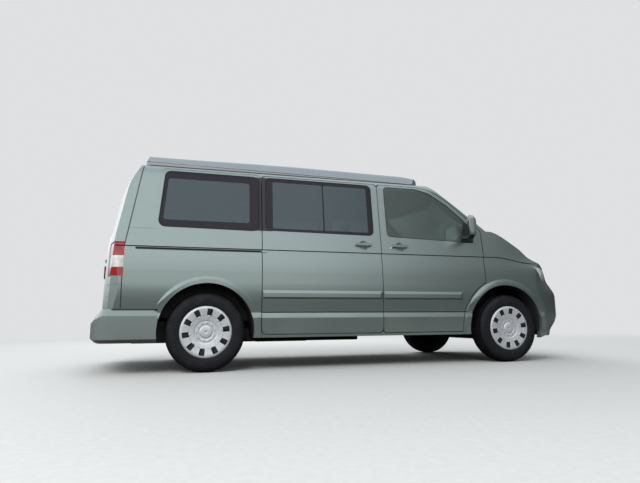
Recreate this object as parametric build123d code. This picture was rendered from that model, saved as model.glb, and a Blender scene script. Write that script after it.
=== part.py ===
from build123d import *
import math
import os

# Camper van with a short bonnet, a sliding door on the right and a rising roof lid.
# All sizes are in millimetres. X points forwards, Y to the left and Z up.
# The origin is on the ground, below the middle of the van's box.

# Wheels and axles
FRONT_AXLE_X = 1545
REAR_AXLE_X = -1455
HALF_TRACK = 814
TYRE_RADIUS = 336
TYRE_WIDTH = 205
RIM_RADIUS = 203
COVER_RADIUS = 220
COVER_WINDOWS = 10
WINDOW_RADIUS = 174
WINDOW_LENGTH = 44
WINDOW_WIDTH = 35
COVER_STUDS = 10
STUD_RADIUS = 74
KINGPIN_Y = 745
HUB_INSET = 10

# Wheel arches, as openings in the side of the body
FRONT_ARCH_X = 1500
REAR_ARCH_X = -1453
ARCH_Z = 345
FRONT_ARCH_RADIUS = 420
REAR_ARCH_RADIUS = 402
FLARE_WIDTH = 58
FLARE_CREST = 22
FLARE_PROUD = 12
DOOR_ARCH_GAP = 20
LINER_THICKNESS = 8
LINER_INNER_Y = 500
REAR_LINER_INNER_Y = 650

# Body in plan: a bowed nose with round corners and a bowed tail
NOSE_X = 2445
TAIL_X = -2365
BUMPER_TAIL_X = -2445
NOSE_BOW_RADIUS = 2628
NOSE_CORNER_RADIUS = 560
TAIL_BOW_RADIUS = 3270
TAIL_CORNER_RADIUS = 110
HALF_WIDTH = 952

# Body in cross-section
SKIRT_Z = 282
SKIRT_HALF = 930
SILL_LOW_Z = 452
SILL_TOP_Z = 496
SILL_HALF = 946
SILL_STEP = 10
BELLY_Z = 660
BELT_Z = 915
BELT_HALF = 947
SHOULDER_Z = 1045
SHOULDER_HALF = 937
SHOULDER_STEP = 8
TUMBLEHOME_Z = 1385
TUMBLEHOME_HALF = 894
RAIL_Z = 1742
RAIL_HALF = 848
ROOF_EDGE_Z = 1795
ROOF_EDGE_HALF = 782
ROOF_CROWN_Z = 1876
HEADLINER_Z = 1768
DECK_EDGE_Z = 1789
DECK_CROWN_Z = 1812

# Walls, gaps and glass
SHELL = 60
FRAME_DEPTH = 110
DOOR_SEAT = 66
DOOR_LAP = 30
PANEL_GAP = 7
SEAT_GAP = 0.3
GLASS_SINK = 2
GLASS_THICKNESS = 6
BONNET_THICKNESS = 28

# Doors and windows, seen from the side
DOOR_BOTTOM_Z = 312
DOOR_TOP_Z = 1756
FRONT_DOOR_REAR_X = 163
FRONT_DOOR_FRONT_X = 1277
SLIDE_DOOR_REAR_X = -984
SLIDE_DOOR_FRONT_X = 157
WINDOW_LOW_Z = 1222
WINDOW_TOP_Z = 1733
WINDOW_RIM = 32
RIM_DEPTH = 2.5
QUARTER_LINE_Z = 1201
MOULDING_LOW_Z = 618
MOULDING_TOP_Z = 692
MOULDING_PROUD = 9
MOULDING_TAPER = 24

# Roof lid
LID_REAR_X = -2008
LID_HALF = 775
LID_FRONT_RADIUS = 1085
LID_EDGE_Z = 1801
LID_TOP_Z = 1990
LID_SLOPE = 0.66
LID_SHELL = 26
LID_DECK_GAP = 6
HATCH_REAR_X = -1500
HATCH_FRONT_X = 520
HATCH_HALF = 470

# Cowl, bonnet and lamps
COWL_RADIUS = 1823
COWL_Z = 1322
BONNET_HALF = 735
GRILLE_HALF = 480
GRILLE_LOW_Z = 735
GRILLE_TOP_Z = 890
BUMPER_FRONT_LOW_Z = 205
PILLAR_FOOT_Z = 1290
HANDLE_Z = 1128
CUP_RADIUS = 46
CUP_DEPTH = 13
LOWER_ARM_Z = 216
ARM_HALF = 22
BRAKE_OFFSET = 28
ENGINE_LOW_Z = 340
WING_FRONT_X = 1907
LAMP_REAR_TOP = (1905, 992)
LAMP_REAR_LOW = (2052, 832)
LAMP_NOSE_TOP_Z = 902
LAMP_NOSE_LOW_Z = 775
LAMP_DEPTH = 46
SCREEN_LOW_HALF = 792
SCREEN_TOP_HALF = 690

# Tail
TAIL_GAP_TOP = (-2014, 1806)
TAIL_GAP_X = -2131
LAMP_TAIL_HALF = 762
LAMP_TAIL_LOW_Z = 797
LAMP_TAIL_TOP_Z = 1073
CORNER_GROOVES_Z = (628, 722)
PLATE_HALF = 330
PLATE_LOW_Z = 800
PLATE_HEIGHT = 170
PLATE_SINK = 16
BUMPER_TOP_Z = 528
BUMPER_LOW_Z = 285
BUMPER_PROUD = 6
BUMPER_SLOPE = 56
BUMPER_FRONT_X = -1850

FLOOR_TOP_Z = 455
FLOOR_THICKNESS = 25
RAIL_HEIGHT = 110
RAIL_FRONT_X = 1990
RAIL_INNER_Y = 420
CROSSMEMBERS_X = (-700, -200, 900)
BOARD_REAR_X = -2060
BOARD_FRONT_X = -1600
BOARD_HALF = 470
FAR = 3200
UNDER_Z = -60

NOSE_AXIS_X = NOSE_X - NOSE_BOW_RADIUS
TAIL_AXIS_X = TAIL_X + TAIL_BOW_RADIUS


def inset_outline(points, inset):
    """Corners of a closed outline moved inwards by inset; the points run anticlockwise."""
    moved = []
    count = len(points)
    for index in range(count):
        before = Vector(*points[index - 1], 0)
        here = Vector(*points[index], 0)
        after = Vector(*points[(index + 1) % count], 0)
        first = (here - before).normalized()
        second = (after - here).normalized()
        normal_1 = Vector(-first.Y, first.X, 0)
        normal_2 = Vector(-second.Y, second.X, 0)
        bisector = (normal_1 + normal_2).normalized()
        corner = here + bisector * (inset / bisector.dot(normal_1))
        moved.append((corner.X, corner.Y))
    return moved


def inset_radii(radii, inset):
    """Corner radii of an outline moved inwards; long sweeps keep theirs."""
    return [radius if radius == 0 or radius > 1000 else max(radius - inset, 0) for radius in radii]


def round_outline(points, radii):
    """Face of a closed outline whose corners are rounded where the radius is above zero."""
    if not isinstance(radii, (list, tuple)):
        radii = [radii] * len(points)
    outline = make_face(Polyline(*points, close=True))
    for point, radius in zip(points, radii):
        if radius > 0:
            corner = outline.vertices().sort_by_distance(Vector(point[0], point[1], 0))[0]
            outline = fillet(corner, radius)
    return outline


def side_prism(face, y_low, y_high):
    """Solid of an outline in X and Z between two values of Y."""
    return Pos(0, y_high, 0) * extrude(Plane.XZ * face, amount=y_high - y_low)


def front_prism(face, x_low, x_high):
    """Solid of an outline in Y and Z between two values of X."""
    return Pos(x_low, 0, 0) * extrude(Plane.YZ * face, amount=x_high - x_low)


def block(x_low, x_high, y_low, y_high, z_low, z_high):
    """Box between its two corners."""
    size = (x_high - x_low, y_high - y_low, z_high - z_low)
    middle = ((x_high + x_low) / 2, (y_high + y_low) / 2, (z_high + z_low) / 2)
    return Pos(*middle) * Box(*size)


def rod_y(x, z, radius, y_low, y_high):
    """Round bar along Y."""
    return Pos(x, (y_low + y_high) / 2, z) * Rot(90, 0, 0) * Cylinder(radius, y_high - y_low)


def rod_z(x, y, radius, z_low, z_high):
    """Round bar along Z."""
    return Pos(x, y, (z_low + z_high) / 2) * Cylinder(radius, z_high - z_low)


def both_sides(shape):
    """The shape and its mirror image on the other side of the van."""
    return shape + mirror(shape, about=Plane.XZ)


def cross_section(inset):
    """Body in Y and Z, anticlockwise: skirt, belly, shoulder step, tumblehome and roof.
    From the shell's inner face inwards it is a plain lining up to a flat headliner."""
    right = [
        (SKIRT_HALF, 0, 0),
        (SKIRT_HALF, SKIRT_Z, 0),
        (SILL_HALF, SILL_LOW_Z, 30),
        (SILL_HALF - SILL_STEP, SILL_TOP_Z, 0),
        (HALF_WIDTH + 3, BELLY_Z, 1200),
        (BELT_HALF, BELT_Z, 1200),
        (SHOULDER_HALF - SHOULDER_STEP, SHOULDER_Z, 0),
        (SHOULDER_HALF, SHOULDER_Z + SHOULDER_STEP, 0),
        (TUMBLEHOME_HALF, TUMBLEHOME_Z, 1500),
        (RAIL_HALF, RAIL_Z, 110),
        (ROOF_EDGE_HALF, ROOF_EDGE_Z, 40),
        (0, ROOF_CROWN_Z, 3000),
    ]
    left = [(-y, z, radius) for y, z, radius in reversed(right[:-1])]
    corners = right + left
    points = inset_outline([(y, z) for y, z, _ in corners], inset)
    points[0] = (points[0][0], UNDER_Z)
    points[-1] = (points[-1][0], UNDER_Z)
    radii = inset_radii([radius for _, _, radius in corners], inset)
    if inset < SHELL:
        return round_outline(points, radii)
    _, _, _, _, belly, _, _, _, below, rail = points[:10]
    lean = (rail[0] - below[0]) / (rail[1] - below[1])
    lining = points[:2] + [belly, below, (rail[0] + (HEADLINER_Z - rail[1]) * lean, HEADLINER_Z)]
    lining_radii = [0, 0, 1200, 1500, 0]
    return round_outline(lining + [(-y, z) for y, z in reversed(lining)], lining_radii + lining_radii[::-1])


def front_profile(inset):
    """Nose, bonnet, windscreen and front of the roof in X and Z, on the middle line."""
    corners = [
        (NOSE_AXIS_X, 0, 0),
        (2290, 0, 0),
        (2330, 190, 40),
        (2432, 330, 90),
        (NOSE_X, 560, 500),
        (2398, 830, 400),
        (2260, 1010, 420),
        (1990, 1214, 500),
        (1642, COWL_Z, 0),
        (1592, COWL_Z, 0),
        (1062, 1782, 900),
        (900, 1872, 300),
        (500, 1925, 0),
        (NOSE_AXIS_X, 1930, 0),
    ]
    points = inset_outline([(x, z) for x, z, _ in corners], inset)
    points = [(NOSE_AXIS_X if index in (0, len(points) - 1) else x, z if index > 1 else UNDER_Z)
              for index, (x, z) in enumerate(points)]
    radii = inset_radii([radius for _, _, radius in corners], inset)
    return round_outline(points, radii)


def tail_profile(inset):
    """Tailgate and rear of the roof in X and Z, on the middle line."""
    corners = [
        (TAIL_AXIS_X, 0, 0),
        (TAIL_AXIS_X, 1930, 0),
        (-2002, 1930, 0),
        (TAIL_GAP_TOP[0], TAIL_GAP_TOP[1], 0),
        (-2136, 1800, 50),
        (-2240, 1622, 500),
        (-2349, 1090, 900),
        (TAIL_X, 540, 0),
        (TAIL_X, 0, 0),
    ]
    points = inset_outline([(x, z) for x, z, _ in corners], inset)
    points = [(TAIL_AXIS_X if index < 2 else x, UNDER_Z if index in (0, len(points) - 1) else z)
              for index, (x, z) in enumerate(points)]
    radii = inset_radii([radius for _, _, radius in corners], inset)
    return round_outline(points, radii)


def tangent_corner(axis_x, bow, corner, half):
    """Centre of the arc that joins a bow about axis_x to a straight side at half width."""
    reach = math.sqrt((bow - corner) ** 2 - (half - corner) ** 2)
    return axis_x + math.copysign(reach, NOSE_X if axis_x < 0 else TAIL_X), half - corner


def plan_outline(inset, tail_x=TAIL_X):
    """Body in X and Y: bowed nose and tail, joined to straight sides by tangent arcs."""
    half = HALF_WIDTH + 3 - inset
    nose_bow = NOSE_BOW_RADIUS - inset
    nose_corner = NOSE_CORNER_RADIUS - inset
    tail_axis = tail_x + TAIL_BOW_RADIUS
    tail_bow = TAIL_BOW_RADIUS - inset
    tail_corner = max(TAIL_CORNER_RADIUS - inset, 20)
    lines = []
    ends = []
    for axis_x, bow, corner in ((NOSE_AXIS_X, nose_bow, nose_corner),
                                (tail_axis, tail_bow, tail_corner)):
        centre_x, centre_y = tangent_corner(axis_x, bow, corner, half)
        direction = Vector(centre_x - axis_x, centre_y, 0).normalized()
        touch = Vector(axis_x, 0, 0) + direction * bow
        way = 1 if centre_x > axis_x else -1
        middle = (direction + Vector(0, 1, 0)).normalized() * corner + Vector(centre_x, centre_y, 0)
        lines.append(ThreePointArc((touch.X, -touch.Y), (axis_x + way * bow, 0), (touch.X, touch.Y)))
        for side in (1, -1):
            lines.append(ThreePointArc((touch.X, side * touch.Y), (middle.X, side * middle.Y),
                                       (centre_x, side * half)))
        ends.append(centre_x)
    for side in (1, -1):
        lines.append(Line((ends[0], side * half), (ends[1], side * half)))
    return make_face(lines)


def body_form(inset, tail_x=TAIL_X):
    """Closed body with every face moved inwards by inset."""
    form = front_prism(cross_section(inset), -FAR, FAR)
    form = form & Pos(0, 0, UNDER_Z) * extrude(plan_outline(inset, tail_x), amount=2100)
    screen = Pos(NOSE_AXIS_X, 0, 0) * revolve(
        Plane.XZ * (Pos(-NOSE_AXIS_X, 0) * front_profile(inset)), axis=Axis.Z, revolution_arc=360)
    rear = Pos(TAIL_AXIS_X, 0, 0) * revolve(
        Plane.XZ * (Pos(-TAIL_AXIS_X, 0) * tail_profile(inset)), axis=Axis.Z, revolution_arc=360)
    front_half = form & block(0, FAR, -FAR, FAR, UNDER_Z, 2100) & screen
    rear_half = form & block(-FAR, 0, -FAR, FAR, UNDER_Z, 2100) & rear
    return front_half + rear_half


def door_outline(rear_x, front_x, grow):
    """Sliding door from the side, grown by grow: a tall panel with round corners."""
    corners = [
        (rear_x - grow, DOOR_BOTTOM_Z - grow),
        (front_x + grow, DOOR_BOTTOM_Z - grow),
        (front_x + grow, DOOR_TOP_Z + grow),
        (rear_x - grow, DOOR_TOP_Z + grow),
    ]
    return round_outline(corners, 45)


def front_door_outline(grow):
    """Front door from the side: it follows the windscreen pillar above and the arch below."""
    corners = [
        (FRONT_DOOR_REAR_X, DOOR_BOTTOM_Z, 30),
        (FRONT_DOOR_FRONT_X, DOOR_BOTTOM_Z, 0),
        (FRONT_DOOR_FRONT_X, 1322, 40),
        (1121, 1457, 300),
        (940, 1612, 300),
        (750, 1725, 200),
        (600, DOOR_TOP_Z, 120),
        (FRONT_DOOR_REAR_X, DOOR_TOP_Z, 45),
    ]
    points = inset_outline([(x, z) for x, z, _ in corners], -grow)
    outline = round_outline(points, [radius for _, _, radius in corners])
    arch = Pos(FRONT_ARCH_X, ARCH_Z) * Circle(FRONT_ARCH_RADIUS + FLARE_WIDTH + DOOR_ARCH_GAP - grow)
    return outline - arch


def front_window_outline(grow):
    """Glass of a front door from the side."""
    corners = [
        (232, WINDOW_LOW_Z, 40),
        (1180, WINDOW_LOW_Z - 30, 12),
        (1196, 1330, 30),
        (1096, 1425, 300),
        (922, 1575, 300),
        (735, 1692, 160),
        (590, WINDOW_TOP_Z, 100),
        (232, WINDOW_TOP_Z, 45),
    ]
    points = inset_outline([(x, z) for x, z, _ in corners], -grow)
    return round_outline(points, [radius for _, _, radius in corners])


def window_outline(rear_x, front_x, lean, radius, grow=0):
    """Glass of a side window; its rear edge leans forwards towards the roof by lean."""
    corners = [
        (rear_x, WINDOW_LOW_Z + 8),
        (front_x, WINDOW_LOW_Z),
        (front_x, WINDOW_TOP_Z + 4),
        (rear_x + lean, WINDOW_TOP_Z + 6),
    ]
    return round_outline(inset_outline(corners, -grow), radius)


def lid_outline(grow):
    """Roof lid from above: square at the rear, bowed like the windscreen at the front."""
    radius = LID_FRONT_RADIUS + grow
    half = LID_HALF + grow
    front_x = NOSE_AXIS_X + math.sqrt(radius ** 2 - half ** 2)
    rear_x = LID_REAR_X - grow
    sides = Polyline((front_x, half), (rear_x, half), (rear_x, -half), (front_x, -half))
    bow = ThreePointArc((front_x, -half), (NOSE_AXIS_X + radius, 0), (front_x, half))
    outline = make_face([sides, bow])
    for x, radius in ((rear_x, 60), (front_x, 110)):
        corners = outline.vertices().filter_by(lambda v, x=x: abs(v.X - x) < 1)
        outline = fillet(corners, radius + grow)
    return outline


def deck_section():
    """Roof under the lid, in Y and Z."""
    arc = ThreePointArc((-FAR / 3, DECK_EDGE_Z - 26), (0, DECK_CROWN_Z), (FAR / 3, DECK_EDGE_Z - 26))
    box = Polyline((FAR / 3, DECK_EDGE_Z - 26), (FAR / 3, 0), (-FAR / 3, 0), (-FAR / 3, DECK_EDGE_Z - 26))
    return make_face([arc, box])


def lid_section(inset):
    """Roof lid in Y and Z: a lower band, a round shoulder and a crown."""
    right = [
        (LID_HALF, 1700, 0),
        (LID_HALF - 4, 1832, 18),
        (LID_HALF - 30, 1850, 0),
        (706, 1930, 70),
        (560, 1966, 160),
        (0, LID_TOP_Z + 2, 2500),
    ]
    left = [(-y, z, radius) for y, z, radius in reversed(right[:-1])]
    corners = right + left
    points = inset_outline([(y, z) for y, z, _ in corners], inset)
    points[0] = (points[0][0], 1700)
    points[-1] = (points[-1][0], 1700)
    return round_outline(points, inset_radii([radius for _, _, radius in corners], inset))


def lid_profile(inset):
    """Roof lid in X and Z: a leaning rear wall and a flat nose."""
    front_x = NOSE_AXIS_X + LID_FRONT_RADIUS
    corners = [
        (LID_REAR_X, 1700, 0),
        (front_x + 3, 1700, 0),
        (front_x, 1815, 40),
        (front_x - 120, 1925, 220),
        (front_x - 420, 2005, 0),
        (LID_REAR_X + 58, 2030, 60),
        (LID_REAR_X, LID_EDGE_Z + 20, 30),
    ]
    points = inset_outline([(x, z) for x, z, _ in corners], inset)
    points[0] = (points[0][0], 1700)
    points[1] = (points[1][0], 1700)
    return round_outline(points, inset_radii([radius for _, _, radius in corners], inset))


def lid_form(inset):
    """Closed lid with every outer face moved inwards by inset."""
    long = Pos(LID_REAR_X, 0, 0) * Rot(0, LID_SLOPE, 0) * front_prism(lid_section(inset), -200, FAR)
    return long & side_prism(lid_profile(inset), -FAR, FAR) & (
        Pos(0, 0, 1700) * extrude(lid_outline(-inset), amount=400))


FORMS = {}


def form(inset):
    """Body form, worked out once for each depth."""
    if inset not in FORMS:
        FORMS[inset] = body_form(inset)
    return FORMS[inset]


def arch_bar(axle_side, radius, y_low, y_high):
    """Round bar along Y at the centre of the front or rear wheel arches."""
    return rod_y(FRONT_ARCH_X if axle_side > 0 else REAR_ARCH_X, ARCH_Z, radius, y_low, y_high)


def flare(front):
    """Raised lip round one wheel arch on the right side; a cone slopes it back into the panel."""
    radius = FRONT_ARCH_RADIUS if front > 0 else REAR_ARCH_RADIUS
    x = FRONT_ARCH_X if front > 0 else REAR_ARCH_X
    reach = HALF_WIDTH + 3
    spread = (FLARE_WIDTH - FLARE_CREST) / FLARE_PROUD
    inner_y, outer_y = reach - 2 * FLARE_PROUD, reach + 2 * FLARE_PROUD
    cone = Cone(radius + FLARE_WIDTH + 2 * FLARE_PROUD * spread,
                radius + FLARE_WIDTH - 2 * FLARE_PROUD * spread, outer_y - inner_y)
    lip = Pos(x, -reach, ARCH_Z) * Rot(90, 0, 0) * cone
    lip += arch_bar(front, radius + FLARE_CREST, -FAR, -inner_y)
    lip += arch_bar(front, radius + FLARE_WIDTH, -inner_y, -700)
    lip &= arch_bar(front, radius + FLARE_WIDTH, -FAR, -700)
    lip -= arch_bar(front, radius, -FAR, -700)
    return (form(-FLARE_PROUD) - form(0)) & lip & block(x - 600, x + 600, -FAR, 0, SKIRT_Z, 1000)


def right(face):
    """Prism through the right side of the body from an outline in X and Z."""
    return side_prism(face, -FAR, -300)


def glass_layer():
    """Thin layer just under the outer faces that all panes are cut from."""
    return form(GLASS_SINK) - form(GLASS_SINK + GLASS_THICKNESS)


def tail_zone(shrink):
    """Everything behind the tailgate's side gap, seen from the side."""
    x_top, z_top = TAIL_GAP_TOP
    points = [
        (-FAR, UNDER_Z),
        (TAIL_GAP_X - shrink, UNDER_Z),
        (TAIL_GAP_X - shrink, LAMP_TAIL_TOP_Z),
        (x_top - shrink, z_top - 6),
        (x_top - shrink, 2200),
        (-FAR, 2200),
    ]
    return side_prism(make_face(Polyline(*points, close=True)), -FAR, FAR)


def bumper_zone():
    """Everything below the lamps and in front of the wings, seen from the side."""
    points = [
        (WING_FRONT_X, UNDER_Z),
        (2700, UNDER_Z),
        (2700, LAMP_NOSE_LOW_Z - 40),
        (LAMP_REAR_LOW[0], LAMP_REAR_LOW[1] - 4),
        (WING_FRONT_X, LAMP_REAR_LOW[1] - 12),
    ]
    return side_prism(make_face(Polyline(*points, close=True)), -FAR, FAR)


def lamp_zone():
    """Space of the headlamps, seen from the side."""
    points = [LAMP_REAR_LOW, (2700, LAMP_NOSE_LOW_Z - 36), (2700, LAMP_NOSE_TOP_Z - 40), LAMP_REAR_TOP]
    return side_prism(make_face(Polyline(*points, close=True)), -FAR, FAR)


def bonnet_zone(gap):
    """Everything above the lamps, seen from the side."""
    x, z = LAMP_REAR_TOP
    points = [(1000, z + gap), (x, z + gap), (2700, LAMP_NOSE_TOP_Z - 40 + gap), (2700, 1500), (1000, 1500)]
    return side_prism(make_face(Polyline(*points, close=True)), -FAR, FAR)


def screen_prism():
    """Windscreen seen from the front."""
    points = [(-SCREEN_LOW_HALF, COWL_Z), (SCREEN_LOW_HALF, COWL_Z),
              (SCREEN_TOP_HALF, HEADLINER_Z), (-SCREEN_TOP_HALF, HEADLINER_Z)]
    return front_prism(round_outline(points, [40, 40, 0, 0]), 700, 2000)


def wheelhouse(side, extra):
    """Space that a right wheel's arch cuts from its neighbours."""
    radius = (FRONT_ARCH_RADIUS if side > 0 else REAR_ARCH_RADIUS) + extra
    return arch_bar(side, radius, -FAR, -LINER_INNER_Y if side > 0 else -REAR_LINER_INNER_Y)


def liner_seat(side):
    """Space that a wheel arch liner takes out of the panel round it."""
    return wheelhouse(side, LINER_THICKNESS) & form(25)


def quarter_window(grow=0):
    """Rear side window."""
    return right(window_outline(-1878, -1014, 46, 55, grow))


def middle_window(grow=0):
    """Side window behind the front door."""
    return right(window_outline(-952, 92, 0, 50, grow))


def side_frame_right():
    """Right side of the shell: skirt, pillars and cant rail round the two door openings."""
    foot_x = FRONT_DOOR_FRONT_X + PANEL_GAP
    zone = block(-FAR, foot_x, -FAR, -300, SKIRT_Z, HEADLINER_Z)
    zone += block(foot_x, 1700, -FAR, -300, PILLAR_FOOT_Z, HEADLINER_Z)
    frame = (form(0) - form(FRAME_DEPTH)) & zone
    frame -= tail_zone(0)
    corner = (form(0) - form(SHELL)) & block(
        -FAR, TAIL_GAP_X, -FAR, -LAMP_TAIL_HALF, BUMPER_TOP_Z, LAMP_TAIL_LOW_Z)
    for z in CORNER_GROOVES_Z:
        corner -= block(-FAR, TAIL_GAP_X - 1, -FAR, 0, z, z + 7) - form(4)
    frame += corner
    frame -= block(foot_x, 1700, -BONNET_HALF - PANEL_GAP, 0, PILLAR_FOOT_Z, COWL_Z)
    frame -= screen_prism()
    frame += flare(-1)
    frame -= wheelhouse(-1, 0) + liner_seat(-1) + wheelhouse(1, LINER_THICKNESS)
    frame -= (arch_bar(1, FRONT_ARCH_RADIUS + FLARE_WIDTH + DOOR_ARCH_GAP - PANEL_GAP, -FAR, -300)
              - form(DOOR_SEAT))
    frame -= block(-FAR, BUMPER_FRONT_X, -FAR, 0, UNDER_Z, BUMPER_TOP_Z) - form(DOOR_SEAT)
    frame -= quarter_window()
    frame -= quarter_window(WINDOW_RIM) - form(RIM_DEPTH)
    line = block(TAIL_GAP_X, SLIDE_DOOR_REAR_X - PANEL_GAP, -FAR, -300, QUARTER_LINE_Z, QUARTER_LINE_Z + 5)
    return frame - (line - form(RIM_DEPTH))


def front_door_hole(frame):
    """The frame with the front door's opening cut, a step deep and then right through."""
    frame -= right(front_door_outline(PANEL_GAP)) - form(DOOR_SEAT)
    frame -= right(front_door_outline(-DOOR_LAP))
    return frame - block(1120, FRONT_DOOR_FRONT_X + PANEL_GAP, -FAR, -300, DOOR_BOTTOM_Z + DOOR_LAP, 1290)


def sliding_door_hole(frame):
    """The frame with the sliding door's opening cut, a step deep and then right through."""
    frame -= right(door_outline(SLIDE_DOOR_REAR_X, SLIDE_DOOR_FRONT_X, PANEL_GAP)) - form(DOOR_SEAT)
    return frame - right(door_outline(SLIDE_DOOR_REAR_X, SLIDE_DOOR_FRONT_X, -DOOR_LAP))


def strikers(z_values, x, width):
    """Latch pads on a pillar that a shut door rests against."""
    pads = [block(x, x + width, -FAR, -300, z - 22, z + 22) for z in z_values]
    return (form(SHELL + SEAT_GAP) - form(DOOR_SEAT)) & (pads[0] + pads[1])


def door_panel(outline_at):
    """A door as thick as the shell, with its inner part set back from its edge."""
    lip = (form(0) - form(14)) & right(outline_at(0))
    return lip + ((form(14) - form(SHELL)) & right(outline_at(-14)))


def moulding(rear_x, front_x):
    """Raised strip along the flank: its top slopes, its foot is undercut and its front end tapers."""
    skin = -HALF_WIDTH - 3
    root, crest = skin + MOULDING_PROUD, skin - MOULDING_PROUD
    section = make_face(Polyline(
        (root, MOULDING_LOW_Z), (skin, MOULDING_LOW_Z), (crest, MOULDING_LOW_Z + 14),
        (crest, MOULDING_TOP_Z - 26), (skin, MOULDING_TOP_Z), (root, MOULDING_TOP_Z), close=True))
    plan = make_face(Polyline(
        (rear_x, root), (front_x, root), (front_x, skin), (front_x - MOULDING_TAPER, crest),
        (rear_x + 3, crest), (rear_x, crest + 3), close=True))
    return front_prism(section, rear_x, front_x) & Pos(0, 0, MOULDING_LOW_Z) * extrude(plan, amount=100)


def handle_cup(x, z, y):
    """Round hollow behind a handle, on the right side; y is the skin there."""
    ball = CUP_RADIUS ** 2 / (2 * CUP_DEPTH) + CUP_DEPTH / 2
    return Pos(x, y + CUP_DEPTH - ball, z) * Sphere(ball)


def handle(x, z, y):
    """Bow handle on the right side; y is the skin there."""
    bow = block(x - 78, x + 78, y - 32, y - 18, z - 12, z + 12)
    feet = block(x - 78, x - 58, y - 18, y + 12, z - 12, z + 12)
    feet += block(x + 58, x + 78, y - 18, y + 12, z - 12, z + 12)
    return bow + feet


def door_skin_y(x, z):
    """Outer face of the right side at a point, from the body form."""
    line = Edge.make_line((x, -FAR, z), (x, -300, z))
    inside = line & form(0)
    edges = inside.edges() if hasattr(inside, "edges") else [inside]
    return min(vertex.Y for edge in edges for vertex in edge.vertices())


def sliding_door():
    """Sliding door with its window cut; its carrier runs on the rail below the rear window."""
    door = door_panel(lambda grow: door_outline(SLIDE_DOOR_REAR_X, SLIDE_DOOR_FRONT_X, grow))
    door -= middle_window()
    door += moulding(SLIDE_DOOR_REAR_X + 6, SLIDE_DOOR_FRONT_X - 6)
    rear = SLIDE_DOOR_REAR_X - PANEL_GAP - 2 + SEAT_GAP
    carrier = block(rear, rear + 40, -FAR, -300, SHOULDER_Z - 18, SHOULDER_Z - 4)
    door += (form(-8) - form(0)) & carrier
    x, z = SLIDE_DOOR_FRONT_X - 177, HANDLE_Z + 4
    y = door_skin_y(x, z)
    return door - handle_cup(x, z, y) + handle(x, z, y)


def front_door():
    """Right front door with its window cut."""
    door = door_panel(front_door_outline)
    door -= right(front_window_outline(0))
    door += moulding(FRONT_DOOR_REAR_X + 6, 1005)
    x = FRONT_DOOR_REAR_X + 193
    y = door_skin_y(x, HANDLE_Z)
    return door - handle_cup(x, HANDLE_Z, y) + handle(x, HANDLE_Z, y)


def mirror_right():
    """Outside mirror: a body-coloured head on a black foot."""
    outline = round_outline([(-1144, 1232), (-975, 1216), (-975, 1436), (-1136, 1442)], [44, 24, 40, 52])
    nose = round_outline([(-1120, 1256), (-996, 1244), (-996, 1408), (-1112, 1416)], [34, 18, 32, 42])
    head = front_prism(outline, 1004, 1046)
    head += loft([Plane.YZ.offset(1046) * outline, Plane.YZ.offset(1078) * nose], ruled=True)
    arm = block(1030, 1068, -985, -880, 1228, 1262)
    sail = right(round_outline([(1030, 1206), (1172, 1202), (1182, 1326), (1092, 1412)], 10))
    sail = sail & (form(-MOULDING_PROUD) - form(GLASS_SINK))
    return (head + arm) - form(GLASS_SINK) + sail


def roof_frame():
    """Roof under the lid with its hatch, the cap over the windscreen and the rear edge."""
    roof = form(0) & block(-FAR, FAR, -FAR, FAR, HEADLINER_Z, 2100)
    roof -= tail_zone(-PANEL_GAP)
    deck = front_prism(deck_section(), -FAR, FAR)
    roof -= Pos(0, 0, HEADLINER_Z) * extrude(lid_outline(PANEL_GAP), amount=400) - deck
    roof -= block(HATCH_REAR_X, HATCH_FRONT_X, -HATCH_HALF, HATCH_HALF, 1700, 2100)
    return roof + deck_pads()


def deck_pads():
    """Hinge pads at the rear corners of the deck that the lid's lower edge rests on."""
    pads = both_sides(block(LID_REAR_X + 3, LID_REAR_X + 22, 560, 620, HEADLINER_Z, 2000))
    return pads & front_prism(deck_section(), -FAR, FAR).moved(Location((0, 0, LID_DECK_GAP - SEAT_GAP)))


def roof_lid():
    """Roof lid: a hollow moulding that stands on its lower edge all round the deck."""
    lid = lid_form(0) - lid_form(LID_SHELL)
    lid -= front_prism(deck_section(), -FAR, FAR).moved(Location((0, 0, LID_DECK_GAP)))
    return lid


def tailgate():
    """Tailgate: it wraps the corners above the lamps and narrows between them."""
    gate = form(0) - form(SHELL)
    gate &= tail_zone(0) & block(-FAR, 0, -FAR, FAR, BUMPER_TOP_Z + PANEL_GAP, 2100)
    gate -= both_sides(block(-FAR, 0, LAMP_TAIL_HALF - PANEL_GAP, FAR, 0, LAMP_TAIL_TOP_Z + PANEL_GAP))
    gate -= tailgate_window()
    plate = block(-FAR, 0, -PLATE_HALF, PLATE_HALF, PLATE_LOW_Z, PLATE_LOW_Z + PLATE_HEIGHT)
    return gate - (plate - form(PLATE_SINK))


def tailgate_window():
    """Window of the tailgate, as a prism along X."""
    points = [(-700, 1190), (700, 1190), (640, 1690), (-640, 1690)]
    return front_prism(round_outline(points, 80), -FAR, -2050)


def gate_pads():
    """Hinge pads on the rear edge of the roof."""
    x = TAIL_GAP_TOP[0]
    return both_sides(block(x + SEAT_GAP, x + PANEL_GAP, 500, 560, HEADLINER_Z, 1786))


def bonnet():
    """Bonnet from the cowl down to the lamps and the grille."""
    skin = form(0) - form(BONNET_THICKNESS)
    skin &= block(1300, FAR, -BONNET_HALF, BONNET_HALF, 600, 1500)
    skin -= rod_z(NOSE_AXIS_X, 0, COWL_RADIUS + PANEL_GAP, 0, 2000)
    return skin & bonnet_zone(PANEL_GAP)


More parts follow.
